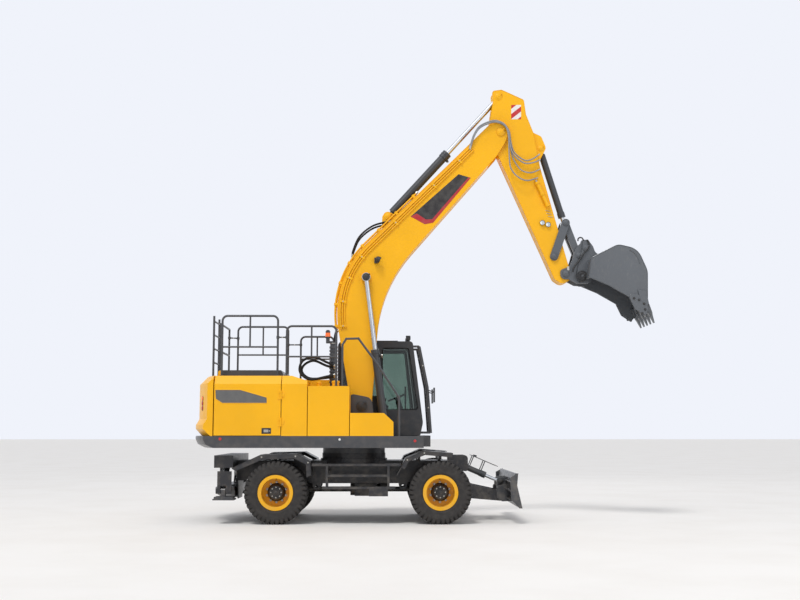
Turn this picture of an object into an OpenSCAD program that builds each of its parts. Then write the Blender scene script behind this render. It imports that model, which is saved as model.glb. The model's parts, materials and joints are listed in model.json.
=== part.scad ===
// Wheeled excavator, about 21 t, with a one-piece boom, dozer blade and outriggers.
// Millimetres, +Z up, +X towards the blade, +Y to the cab side.
// Each module is drawn about the slewing axis, and the whole is moved so that the
// origin is the middle of the outer box on the ground.

/* [Undercarriage] */
// Distance between the front and rear axles
wheelbase = 2800; // [2500:50:3100]
// Rear axle behind the slewing axis
rear_overhang = 1295; // [1200:5:1400]
// Outer radius of a tyre over its lugs
tyre_r = 530; // [500:5:545]
// Width of one tyre
tyre_w = 278; // [240:2:290]
// Middle to middle of a pair of tyres
twin_pitch = 310; // [300:2:330]
// Outer face to outer face of the tyres
track_over = 2540; // [2500:10:2600]
// Half width of the chassis beam
beam_half_w = 380; // [300:10:400]
// Bottom of the chassis beam
beam_z0 = 730; // [720:5:760]
// Top of the chassis beam
beam_z1 = 1050; // [1000:5:1060]
// Kingpin to the machine's centre plane
kingpin_y = 620; // [600:5:640]

/* [Upper structure] */
// Width over the side panels
body_w = 2500; // [2400:10:2540]
// Underside of the slewing deck
deck_z0 = 1283; // [1275:1:1300]
// Top of the deck's skirt, where the panels stand
deck_z1 = 1485; // [1460:5:1500]
// Top of the side doors and of the hood frame
hood_z = 2515; // [2450:5:2600]
// Top of the fuel tank
tank_z = 2334; // [2250:2:2400]
// Top of the tool box
box_z = 1875; // [1800:5:1950]
// Radius of the tail about the slewing axis
tail_r = 2828; // [2780:2:2850]
// Thickness of doors and panels
panel_t = 40; // [30:2:50]
// Gap between neighbouring panels
panel_gap = 12; // [8:1:16]

/* [Cab] */
// Inner side wall of the cab from the centre plane
cab_y0 = 400; // [395:5:430]
// Top of the cab's roof
cab_z1 = 3235; // [3150:5:3300]
// Thickness of the cab's walls and doors
cab_wall = 50; // [40:2:60]
// Thickness of the window glass
glass_t = 6; // [4:1:10]

/* [Boom and arm] */
// Foot pin to nose pin of the boom
boom_len = 5690; // [5650:10:5750]
// Angle of the boom's chord above the ground as it stands
boom_angle = 63.25; // [55:0.25:65]
// Half width of the boom's box
boom_half_w = 200; // [180:5:205]
// Nose pin to tip pin of the arm
arm_len = 2900; // [2880:5:2950]
// Angle of the arm's chord as it stands
arm_angle = -66.2; // [-70:0.1:-60]
// Half width of the arm's box
arm_half_w = 150; // [130:5:155]

/* [Bucket] */
// Width of the bucket
bucket_w = 1160; // [1000:10:1200]
// Thickness of the bucket's side plates
bucket_t = 24; // [16:2:40]
// Number of teeth
teeth = 5; // [3:1:6]

/* [Hidden] */
$fn = 48;

// The slewing axis lies this far behind the middle of the outer box
swing_x = -1281;

// Axles
rear_x = -rear_overhang;
front_x = wheelbase - rear_overhang;
axle_z = tyre_r;
outer_tyre_y = track_over / 2 - tyre_w / 2;
inner_tyre_y = outer_tyre_y - twin_pitch;
disc_y = (outer_tyre_y + inner_tyre_y) / 2;
bead_r = 254;
rim_lip_r = 300;
rim_inner_r = 240;
hub_r = 135;
// Steering arm, from the kingpin back to the tie rod
tie_arm = 232;
// From an axle's middle to the flange of its drive shaft
flange_reach = 250;
// Play of a pin in its bore, on the radius
pin_play = 0.4;
// Gap beside an eye or a boss that turns between two cheeks
side_gap = 8;

// Blade: points in the X-Z plane
blade_pivot = [1930, 520];
blade_base = [1955, 956];
blade_rod_pin = [2622, 670];
blade_lock_pins = [[2607, 524], [2681, 371]];
blade_cyl_y = 190;
blade_arm_y = 320;
blade_pin_r = 40;
blade_cyl_pin_r = 35;

// Tie-down eyes: lengths along X, height, inner face, thickness and bore
eye_places = [-650, 880];
eye_z = 600;
eye_y = 330;
eye_t = 30;
eye_r = 28;

// Outriggers: points in the Y-Z plane, for the left side
leg_x0 = -2362;
leg_x1 = -2038;
leg_mid_x = (leg_x0 + leg_x1) / 2;
leg_pivot = [150, 470];
leg_foot = [1040, 560];
leg_base = [420, 1050];
leg_rod_pin = [1000, 700];
leg_pin_r = 40;
leg_cyl_pin_r = 32;

// Upper structure, lengths along X
// From the tail inward to the doors: the counterweight's depth along the machine
weight_depth = 465;
door_x0 = weight_depth - tail_r;
door_x1 = -1214;
// From the front edge of a rear door back to its vent, and back to the engine
vent_margin = 246;
engine_gap = 136;
tank_x0 = -766;
tank_x1 = -46;
box_x1 = 705;
skirt_x1 = 1220;
cab_x0 = -320;
cab_x1 = 1265;
wall_y = body_w / 2;
floor_z = deck_z0 + 80;
tower_y = 330;
tower_t = 50;
chamfer_z = 2370;
chamfer_y = 120;

// Boom foot and boom cylinder base, in the X-Z plane
boom_foot = [140, 2006];
boom_base = [570, 1475];
boom_cyl_y = 290;
boom_pin_r = 62;
nose_pin_r = 48;
cyl_pin_r = 45;
tip_pin_r = 40;
rocker_pin_r = 36;
// Points in the boom's own frame: along the chord, then out of the bend
boom_rod_pin = [2125, 989];
arm_base = [3343, 1154];
// Width of the arm and bucket cylinders' eyes
arm_cyl_eye = 96;
// Points in the arm's own frame: from the nose pin along the chord, then outwards
arm_rod_pin = [-647, 252];
bucket_base = [567, 577];
rocker_pin = [arm_len - 377, -62];
rocker_tip = [arm_len - 860, 397];
// Points from the arm's tip pin, in world directions, as the bucket stands
coupler_link_pin = [245, 341];
coupler_low_pin = [283, -55];
coupler_top_pin = [370, 470];

// Working pins
boom_nose = boom_foot + turned([boom_len, 0], boom_angle);
arm_tip = boom_nose + turned([arm_len, 0], arm_angle);

// Colours
yellow = [1.0, 0.74, 0.12];
dark = [0.20, 0.20, 0.21];
black = [0.09, 0.09, 0.09];
steel = [0.80, 0.80, 0.80];
rim_yellow = [0.95, 0.66, 0.08];
grey = [0.40, 0.41, 0.43];
glass = [0.35, 0.48, 0.42, 0.5];

// A point turned about the origin by an angle
function turned(p, a) = [p[0] * cos(a) - p[1] * sin(a), p[0] * sin(a) + p[1] * cos(a)];
function boom_point(p) = boom_foot + turned(p, boom_angle);
function arm_point(p) = boom_nose + turned(p, arm_angle);
function heading(a, b) = atan2(b[1] - a[1], b[0] - a[0]);

// Points of one rounded corner: prev, corner and next are points, r is the radius
function unit(v) = v / norm(v);
function corner_arc(prev, c, next, r, n) =
    let(u = unit(prev - c), v = unit(next - c),
        half = acos(u * v) / 2,
        reach = r / tan(half),
        mid = c + unit(u + v) * r / sin(half),
        a0 = heading(mid, c + u * reach),
        turn = heading(mid, c + v * reach) - a0,
        sweep = turn > 180 ? turn - 360 : turn < -180 ? turn + 360 : turn)
    [for (i = [0:n]) mid + r * [cos(a0 + sweep * i / n), sin(a0 + sweep * i / n)]];

// An outline from rows of [x, y, corner radius]
function outline(rows, n = 4) =
    let(k = len(rows), p = [for (q = rows) [q[0], q[1]]])
    [for (i = [0:k - 1]) each (rows[i][2] == 0 ? [p[i]]
        : corner_arc(p[(i + k - 1) % k], p[i], p[(i + 1) % k], rows[i][2], n))];

// A drawing in the X-Z plane made into a plate from y0 to y1
module plate(y0, y1) {
    translate([0, y1, 0]) rotate([90, 0, 0]) linear_extrude(y1 - y0) children();
}

// The same plate on both sides of the centre plane
module both_plates(y0, y1) {
    plate(y0, y1) children();
    plate(-y1, -y0) children();
}

// A round bar along Y, centred on a point of the X-Z plane
module bar_y(p, r, y0, y1) {
    translate([p[0], y1, p[1]]) rotate([90, 0, 0]) cylinder(r = r, h = y1 - y0);
}

// A round bar along X
module bar_x(x0, x1, y, z, r) {
    translate([x0, y, z]) rotate([0, 90, 0]) cylinder(r = r, h = x1 - x0);
}

// A box from two corners
module block(a, b) {
    translate(a) cube(b - a);
}

// A round bar between two points of space
module rod3(a, b, r) {
    d = b - a;
    translate(a) rotate([0, acos(d[2] / norm(d)), atan2(d[1], d[0])]) cylinder(r = r, h = norm(d));
}

// A plate bar between two pins of the X-Z plane with round ends
module link_shape(a, b, ra, rb) {
    hull() {
        translate(a) circle(ra);
        translate(b) circle(rb);
    }
}

// Undercarriage

module chassis_frame() {
    ring_foot_r = 600;
    pedestal_z = 1085;
    beam_x0 = -2040;
    beam_x1 = 1812;
    nose_x = 2043;
    plate_t = 24;
    color(dark) {
        difference() {
            union() {
                // Main beam, deeper between the axles
                plate(-beam_half_w, beam_half_w) polygon(outline([
                    [beam_x0, beam_z1, 0], [beam_x0, 800, 0], [-1600, beam_z0, 0], [-900, beam_z0, 0],
                    [-750, 650, 60], [950, 650, 60], [1100, beam_z0, 0], [beam_x1, beam_z0, 0],
                    [beam_x1, beam_z1, 0]]));
                // Bearing pedestal
                translate([0, 0, beam_z1 - 60]) cylinder(r = ring_foot_r, h = pedestal_z - beam_z1 + 60, $fn = 72);
                // Cheeks for the blade's cylinders and for its arms
                for (side = [-1, 1], y = [-84, 60])
                    plate(side * blade_cyl_y + y, side * blade_cyl_y + y + plate_t)
                        polygon(outline([[1700, 1140, 0], [1700, 900, 0], [nose_x, 850, 40], [nose_x, 1140, 60]]));
                for (side = [-1, 1], y = [-54, 30])
                    plate(side * blade_arm_y + y, side * blade_arm_y + y + plate_t)
                        polygon(outline([[1640, 800, 0], [1820, 430, 60], [2010, 430, 60], [2010, 620, 60],
                            [1800, 800, 0]]));
                // Outrigger beam across the rear, open below, and the mast under it
                difference() {
                    block([leg_x0, -1080, 944], [leg_x1, 1080, 1154]);
                    block([leg_x0 + plate_t, -1080 + plate_t, 900], [leg_x1 - plate_t, 1080 - plate_t, 1154 - plate_t]);
                }
                for (x = [leg_x0, leg_x1 - plate_t])
                    cross_plate(x, x + plate_t)
                        polygon([[-beam_half_w, 950], [-beam_half_w, 700], [-250, 380], [250, 380],
                            [beam_half_w, 700], [beam_half_w, 950]]);
                // Tie-down eyes under the beam
                for (x = eye_places)
                    both_plates(eye_y, eye_y + eye_t)
                        polygon(outline([[x - 75, 655, 0], [x - 60, eye_z - 60, 55], [x + 60, eye_z - 60, 55], [x + 75, 655, 0]]));
                // Gussets from the beam to the mast
                both_plates(beam_half_w - plate_t, beam_half_w)
                    polygon([[leg_x1 - 5, 1000], [leg_x1 - 5, 700], [-1900, 700], [-1780, 800], [-1780, 1000]]);
            }
            // Bores for the pins
            for (side = [-1, 1], x = eye_places) bar_y([x, eye_z], eye_r, -beam_half_w, beam_half_w);
            for (side = [-1, 1]) {
                bar_x(leg_x0 - 5, leg_x1 + 5, side * leg_pivot[0], leg_pivot[1], leg_pin_r);
                bar_x(leg_x0 - 5, leg_x1 + 5, side * leg_base[0], leg_base[1], leg_cyl_pin_r);
            }
        }
        // Pins that stay in the frame
        for (side = [-1, 1]) {
            bar_y(blade_base, blade_cyl_pin_r, side * blade_cyl_y - 84, side * blade_cyl_y + 84);
            bar_y(blade_pivot, blade_pin_r, side * blade_arm_y - 54, side * blade_arm_y + 54);
            bar_x(leg_x0, leg_x1, side * leg_pivot[0], leg_pivot[1], leg_pin_r);
            bar_x(leg_x0, leg_x1, side * leg_base[0], leg_base[1], leg_cyl_pin_r);
        }
    }
}

module slew_ring() {
    color(black) {
        translate([0, 0, 1085]) difference() {
            cylinder(r = 570, h = 94.7, $fn = 96);
            translate([0, 0, -1]) cylinder(r = 430, h = 97, $fn = 96);
        }
    }
}

// Axle housing from one hub face to the other, with its input flange towards the gearbox
module axle_housing(end_y, x, way) {
    bar_y([x, axle_z], 110, -end_y, end_y);
    bar_y([x, axle_z], 196, -150, 150);
    bar_x(way > 0 ? x : x - flange_reach, way > 0 ? x + flange_reach : x, 0, axle_z, 70);
    translate([x, 0, axle_z]) intersection() {
        sphere(r = 230);
        block([-230, -200, -200], [230, 200, 200]);
    }
    // Pads that carry the beam
    for (side = [-1, 1])
        block([x - 90, side * 300 - 60, axle_z + 60], [x + 90, side * 300 + 60, beam_z0]);
}

module rear_axle() {
    color(dark) {
        axle_housing(640, rear_x, 1);
        for (side = [-1, 1]) {
            bar_y([rear_x, axle_z], 170, side * 600 - 40, side * 600 + 40);
            bar_y([rear_x, axle_z], 95, side > 0 ? 640 : -disc_y + 30.3, side > 0 ? disc_y - 30.3 : -640);
        }
    }
}

module front_axle() {
    color(dark) difference() {
        union() {
            axle_housing(540, front_x, -1);
            for (side = [-1, 1]) {
                // Fork of the axle end round the knuckle
                block([front_x - 60, side * 540 - 40, axle_z - 200], [front_x + 60, side * 540 + 40, axle_z + 200]);
                for (z = [-200, 150])
                    hull() {
                        translate([front_x, side * kingpin_y, axle_z + z]) cylinder(r = 62, h = 50);
                        translate([front_x, side * 545, axle_z + z]) cylinder(r = 62, h = 50);
                    }
            }
        }
        for (side = [-1, 1]) translate([front_x, side * kingpin_y, axle_z]) {
            cylinder(r = 30 + pin_play, h = 420, center = true);
            cylinder(r = 92, h = 308, center = true);
        }
    }
}

module drive_line() {
    color(dark) {
        // Gearbox under the beam
        block([20, -230, 420], [420, 170, 640]);
        bar_x(-60, 20, 0, axle_z, 110);
        bar_x(420, 480, 0, axle_z, 90);
        // Shafts to the two differentials
        bar_x(rear_x + flange_reach, -60, 0, axle_z, 45);
        bar_x(480, front_x - flange_reach, 0, axle_z, 45);
    }
}

module steps() {
    rail_t = 40;
    step_y0 = 1060;
    step_y1 = 1230;
    color(dark) for (side = [-1, 1]) mirror([0, side < 0 ? 1 : 0, 0]) {
        // Ladder frame between the wheels: three rails and two posts
        for (row = [[-685, 830, 1015], [-446, 640, 835], [-507, 732, 630]])
            block([row[0], step_y0, row[2] - rail_t], [row[1], step_y1, row[2]]);
        for (x = [-446, 600])
            block([x, step_y0, 630], [x + rail_t, step_y1, 1015]);
        // Brackets to the beam
        for (x = [-446, 600])
            block([x, beam_half_w, 880], [x + rail_t, step_y0, 975]);
        // Tool case hung from the lower rail
        block([290, step_y0 - 160, 470], [613, step_y1, 590]);
    }
}

module mudguards() {
    guard_y0 = 640;
    guard_y1 = 1235;
    color(dark) for (side = [-1, 1]) mirror([0, side < 0 ? 1 : 0, 0]) {
        // Rear arch over the twin tyres, bolted to the outrigger beam
        plate(guard_y0, guard_y1)
            polygon([[leg_x1, 944], [-1553, 1171], [-942, 1184], [-710, 1064], [-690, 820],
                [-702, 820], [-722, 1058], [-945, 1172], [-1550, 1159], [leg_x1, 930]]);
        // Front arch
        plate(guard_y0, guard_y1)
            polygon([[755, 820], [914, 1111], [1218, 1236], [1720, 1197], [1720, 1185],
                [1219, 1223], [922, 1101], [768, 816]]);
        // Stays to the beam
        for (row = [[-1400, 1168], [-1050, 1172], [1130, 1205], [1500, 1208]]) {
            block([row[0], 320, beam_z1], [row[0] + 50, 420, 1130]);
            block([row[0], 400, 1078], [row[0] + 50, guard_y0 + 60, row[1]]);
        }
    }
}

module knuckle(side) {
    king_r = 30;
    arm_x = front_x - tie_arm;
    color(dark) {
        difference() {
            union() {
                translate([front_x, side * kingpin_y, axle_z - 148]) cylinder(r = 78, h = 296);
                bar_y([front_x, axle_z], 95, side > 0 ? kingpin_y : -disc_y + 30.3, side > 0 ? disc_y - 30.3 : -kingpin_y);
                // Steering arm, straight back
                block([arm_x, side * kingpin_y - 24, axle_z - 130], [front_x - 30, side * kingpin_y + 24, axle_z - 90]);
                translate([arm_x, side * kingpin_y, axle_z - 130]) cylinder(r = 40, h = 40);
            }
            translate([arm_x, side * kingpin_y, axle_z - 140]) cylinder(r = 16, h = 60);
        }
        translate([front_x, side * kingpin_y, axle_z - 200]) cylinder(r = king_r, h = 400);
    }
}

module knuckle_left() { knuckle(1); }
module knuckle_right() { knuckle(-1); }

module tie_rod() {
    arm_x = front_x - tie_arm;
    color(steel) {
        for (side = [-1, 1]) {
            translate([arm_x, side * kingpin_y, axle_z - 175]) cylinder(r = 34, h = 40);
            translate([arm_x, side * kingpin_y, axle_z - 140]) cylinder(r = 16 - pin_play, h = 52);
        }
        bar_y([arm_x, axle_z - 155], 20, -kingpin_y + 20, kingpin_y - 20);
    }
}

// A tyre is a light mesh: rings of points round its axis, four to a lug. The lugs of one shoulder
// stand between those of the other.
lug_count = 11;
lug_depth = 24;
tread_half = 112;
tyre_rings = 4 * lug_count;
// A flat side of the mesh reaches in by this share of the radius
ring_share = cos(180 / tyre_rings);
function tyre_ring(k) = let(a = 360 * k / tyre_rings, step = k % 4,
    low = step < 2 ? tyre_r : tyre_r - lug_depth, high = step < 2 ? tyre_r - lug_depth : tyre_r,
    bead = (bead_r + 0.3) / ring_share, lip = (rim_lip_r + 3) / ring_share)
    [for (p = [[bead, -97], [lip, -97], [tyre_r - 120, -tyre_w / 2], [low, -tread_half], [high, tread_half],
        [tyre_r - 120, tyre_w / 2], [lip, 97], [bead, 97]]) [p[0] * cos(a), p[0] * sin(a), p[1]]];
ring_points = len(tyre_ring(0));

module tyre(x, y) {
    translate([x, y, axle_z]) rotate([90, 0, 0]) polyhedron(
        points = [for (k = [0:tyre_rings - 1]) each tyre_ring(k)],
        faces = [for (k = [0:tyre_rings - 1], i = [0:ring_points - 1])
            let(a = k * ring_points + i, b = k * ring_points + (i + 1) % ring_points,
                c = ((k + 1) % tyre_rings) * ring_points + (i + 1) % ring_points,
                d = ((k + 1) % tyre_rings) * ring_points + i)
            each [[a, b, c], [a, c, d]]],
        convexity = 4);
}

module tyres(x, side) {
    color(black) {
        tyre(x, side * outer_tyre_y);
        tyre(x, side * inner_tyre_y);
    }
}

module tyres_front_left() { tyres(front_x, 1); }
module tyres_front_right() { tyres(front_x, -1); }
module tyres_rear_left() { tyres(rear_x, 1); }
module tyres_rear_right() { tyres(rear_x, -1); }

// One rim with its disc, in section: radius, then distance from the centre plane
module rim_half(y, way) {
    seat = 104;
    lip = 8;
    disc_t = 22;
    polygon([for (p = [
        [hub_r, disc_y + way * 2], [bead_r, disc_y + way * 2], [bead_r, y - way * (seat + lip)],
        [rim_lip_r - 10, y - way * (seat + lip)], [rim_lip_r - 10, y - way * seat],
        [bead_r, y - way * (seat - 4)], [bead_r, y + way * (seat - 4)], [rim_lip_r, y + way * seat],
        [rim_lip_r, y + way * (seat + lip)], [rim_inner_r, y + way * (seat + lip)],
        [rim_inner_r, disc_y + way * disc_t], [hub_r, disc_y + way * disc_t]]) p]);
}

// Both rims of a twin wheel, their discs and the planetary hub, drawn for the left side
module twin_rims(x, side) {
    mid = disc_y;
    translate([x, 0, axle_z]) mirror([0, side < 0 ? 1 : 0, 0]) rotate([-90, 0, 0]) {
        color(rim_yellow) rotate_extrude($fn = 72) {
            rim_half(outer_tyre_y, 1);
            rim_half(inner_tyre_y, -1);
        }
        color(black) rotate_extrude($fn = 48) polygon([[0, mid - 30], [hub_r, mid - 30], [hub_r, mid + 120],
            [hub_r - 25, mid + 150], [60, mid + 150], [60, mid + 165], [0, mid + 165]]);
    }
}

module rims_front_left() { twin_rims(front_x, 1); }
module rims_front_right() { twin_rims(front_x, -1); }
module rims_rear_left() { twin_rims(rear_x, 1); }
module rims_rear_right() { twin_rims(rear_x, -1); }

// Dozer blade

module blade_arms() {
    half_t = 28;
    color(dark) {
        difference() {
            for (side = [-1, 1])
                plate(side * blade_arm_y - half_t, side * blade_arm_y + half_t)
                    polygon(outline([[1868, 575, 50], [1868, 440, 50], [2082, 384, 60], [2525, 347, 0],
                        [2590, 342, 0], [2590, 560, 0], [2540, 531, 0], [2082, 629, 60]]));
            bar_y(blade_pivot, blade_pin_r + pin_play, -400, 400);
        }
        // Cross tube between the two arms
        bar_y([2330, 470], 60, -blade_arm_y + half_t, blade_arm_y - half_t);
    }
}

module blade_board() {
    board_y = 1250;
    back_x = 2600;
    color(dark) {
        // Mouldboard: the front face is hollow, bent about a line in front of the blade
        plate(-board_y, board_y) polygon(concat(
            [for (a = [0:6]) let(t = a / 6) [2811 - 60 * sin(180 * t) + 77 * t * t, 853 - 580 * t]],
            [[2850, 268]],
            [for (a = [0:6]) let(t = 1 - a / 6) [2775 - 60 * sin(180 * t) + 77 * t * t, 853 - 550 * t]]));
        // Side plates
        for (side = [-1, 1])
            plate(side * (board_y + 8) - 8, side * (board_y + 8) + 8)
                polygon([[2690, 790], [2825, 860], [2805, 650], [2890, 268], [2840, 268], [2700, 420]]);
        // Ribs along the back
        for (row = [[2700, 700], [2690, 560], [2705, 400]])
            block([row[0], -board_y, row[1] - 8], [row[0] + 62, board_y, row[1] + 8]);
        // Brackets for arms and cylinders
        for (side = [-1, 1], y = [-60, 32])
            plate(side * blade_arm_y + y, side * blade_arm_y + y + 28)
                polygon(outline([[2545, 600, 40], [2745, 640, 0], [2750, 560, 0], [2835, 340, 0],
                    [2640, 330, 30], [2545, 400, 30]]));
        for (side = [-1, 1]) {
            // The plate that the arm's end is welded against
            block([2590, side * blade_arm_y - 60, 342], [2614, side * blade_arm_y + 60, 600]);
            for (y = [-64, 36])
                plate(side * blade_cyl_y + y, side * blade_cyl_y + y + 28)
                    polygon(outline([[2560, 740, 50], [2765, 760, 0], [2750, 560, 0], [2560, 560, 50]]));
        }
    }
}

// A hydraulic cylinder is drawn along +X from its base pin at the origin, then placed.
// The rod's eye is solid, so that nothing crosses from the eye to the ears beside it.
module cylinder_barrel(len, r, eye_r, eye_w, pin_r, rod_r) {
    neck = eye_r + 30;
    gland = 1.6 * r;
    difference() {
        union() {
            rotate([90, 0, 0]) cylinder(r = eye_r, h = eye_w, center = true);
            bar_x(0, neck + 10, 0, 0, min(0.72 * r, eye_w / 2));
            bar_x(neck, len - gland, 0, 0, r);
            bar_x(len - gland, len, 0, 0, 1.13 * r);
        }
        rotate([90, 0, 0]) cylinder(r = pin_r + pin_play, h = eye_w + 40, center = true);
        // The hollow that the rod runs in
        bar_x(neck + 40, len + 10, 0, 0, rod_r + pin_play);
    }
}

module cylinder_rod(tip, start, r, eye_r, eye_w) {
    translate([start, 0, 0]) rotate([0, 90, 0]) cylinder(r = r, h = tip - start - eye_r * 0.5);
    translate([tip, 0, 0]) rotate([90, 0, 0]) cylinder(r = eye_r, h = eye_w, center = true);
}

// Places children, drawn along +X, from pin a towards pin b of the X-Z plane
module along(a, b, y) {
    translate([a[0], y, a[1]]) rotate([0, -heading(a, b), 0]) children();
}

blade_barrel_len = 440;
blade_rest = norm(blade_rod_pin - blade_base);
module blade_barrels() {
    color(dark) for (side = [-1, 1])
        along(blade_base, blade_rod_pin, side * blade_cyl_y) {
            cylinder_barrel(blade_barrel_len, 52, 56, 108, blade_cyl_pin_r, 30);
            // Guard above the cylinder on two posts
            block([70, -62, 226], [585, 62, 236]);
            for (x = [110, 330]) block([x, -12, 46], [x + 16, 12, 226]);
            translate([150, 0, 236]) cylinder(r = 18, h = 26);
        }
}

module blade_rods() {
    color(steel) for (side = [-1, 1])
        along(blade_base, blade_rod_pin, side * blade_cyl_y)
            cylinder_rod(blade_rest, 190, 30, 46, 60);
}

// Outriggers, drawn for the left side

module outrigger_side(side) {
    mirror([0, side < 0 ? 1 : 0, 0]) children();
}

// A drawing in the Y-Z plane made into a plate from x0 to x1
module cross_plate(x0, x1) {
    translate([x0, 0, 0]) rotate([90, 0, 90]) linear_extrude(x1 - x0) children();
}

module outrigger_arm(side) {
    ear_x = 60;
    ear_t = 24;
    color(dark) outrigger_side(side) {
        difference() {
            union() {
                cross_plate(leg_x0 + 34, leg_x1 - 34)
                    polygon(outline([[85, 535, 60], [85, 405, 60], [320, 405, 60], [960, 505, 20],
                        [1085, 505, 30], [1085, 620, 30], [880, 620, 0], [330, 600, 60]]));
                // Guard plate outside the cylinder
                block([leg_x0 + 60, 1070, 505], [leg_x1 - 20, 1085, 887]);
            }
            bar_x(leg_x0, leg_x1, leg_pivot[0], leg_pivot[1], leg_pin_r + pin_play);
            // Slot for the pad's lug
            block([leg_mid_x - 46, 950, 480], [leg_mid_x + 46, 1120, 640]);
        }
        // Pin that the pad hangs on
        bar_x(leg_mid_x - 60, leg_mid_x + 60, leg_foot[0], leg_foot[1], 25);
        // Ears beside the cylinder's foot
        for (x = [-ear_x - ear_t, ear_x])
            cross_plate(leg_mid_x + x, leg_mid_x + x + ear_t)
                polygon(outline([[850, 610, 0], [1075, 610, 0], [1060, 760, 50], [940, 760, 50]]));
    }
}

module outrigger_arm_left() { outrigger_arm(1); }
module outrigger_arm_right() { outrigger_arm(-1); }

module outrigger_pad(side) {
    color(dark) outrigger_side(side) {
        block([leg_x0, 880, 403], [leg_x1 + 40, 1200, 425]);
        for (y = [900, 960, 1120, 1165]) block([leg_x0 + 20, y, 420], [leg_x1 + 20, y + 16, 460]);
        difference() {
            cross_plate(leg_mid_x - 38, leg_mid_x + 38)
                polygon(outline([[990, 420, 0], [1090, 420, 0], [1085, 600, 40], [995, 600, 40]]));
            bar_x(leg_x0, leg_x1, leg_foot[0], leg_foot[1], 25 + pin_play);
        }
    }
}

module outrigger_pad_left() { outrigger_pad(1); }
module outrigger_pad_right() { outrigger_pad(-1); }

leg_rest = norm(leg_rod_pin - leg_base);
// Places children, drawn along +X, from the cylinder's base towards its foot
module along_leg(side) {
    outrigger_side(side) translate([leg_mid_x, leg_base[0], leg_base[1]])
        rotate([heading(leg_base, leg_rod_pin), 0, 0]) rotate([0, 0, 90]) children();
}

module outrigger_barrel(side) {
    color(dark) along_leg(side) cylinder_barrel(560, 50, 52, 110, leg_cyl_pin_r, 28);
}

module outrigger_barrel_left() { outrigger_barrel(1); }
module outrigger_barrel_right() { outrigger_barrel(-1); }

module outrigger_rod(side) {
    color(steel) along_leg(side) cylinder_rod(leg_rest, 170, 28, 42, 100);
}

module outrigger_rod_left() { outrigger_rod(1); }
module outrigger_rod_right() { outrigger_rod(-1); }

// A butt hinge, its pin along Z through the origin and the wall's plane at y = -hinge_r.
// Its leaves reach along X: way is 1 or -1.
hinge_r = 14;
hinge_pin_r = 9;
module hinge_leaf(way, h) {
    translate([way > 0 ? 0 : -55, -hinge_r, -h / 2]) cube([55, 9, h]);
}

// The fixed knuckle with its pin
module hinge_fixed(way) {
    cylinder(r = hinge_r, h = 60, center = true);
    hinge_leaf(way, 60);
    cylinder(r = hinge_pin_r, h = 150, center = true);
}

// The two knuckles that turn on the pin
module hinge_moving(way) {
    for (z = [-52, 52]) translate([0, 0, z]) difference() {
        union() {
            cylinder(r = hinge_r, h = 42, center = true);
            hinge_leaf(way, 42);
        }
        cylinder(r = hinge_pin_r + pin_play, h = 60, center = true);
    }
}

// Heights of the hinges of the side doors and of the cab door
door_hinges = [1720, 2180];
cab_hinges = [1790, 2880];
cab_hinge_x = -57;
lid_pin = [door_x0 + 45, hood_z + 72];
lid_half = 860;

// An upright ear with the pin that the engine hood turns on, for the left side
module lid_ear() {
    plate(lid_half + 6, lid_half + 26) polygon(outline([[door_x0 + 10, hood_z, 0], [door_x0 + 15, lid_pin[1] + 30, 25],
        [door_x0 + 75, lid_pin[1] + 30, 25], [door_x0 + 90, hood_z, 0]]));
    bar_y(lid_pin, 12, lid_half - 35, lid_half + 26);
}

// Upper structure

// Plan of the upper body: straight sides, tail cut by the tail's arc
module tail_solid(x1, rows) {
    // rows: radius and height of the tail's profile, from the bottom up
    intersection() {
        rotate_extrude($fn = 120) polygon(concat([[0, rows[0][1]]], rows, [[0, rows[len(rows) - 1][1]]]));
        translate([0, 0, rows[0][1]]) linear_extrude(rows[len(rows) - 1][1] - rows[0][1])
            polygon(outline([[x1, -wall_y, 0], [x1, wall_y, 0], [-2900, wall_y, 220], [-2900, -wall_y, 220]]));
    }
}

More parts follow.
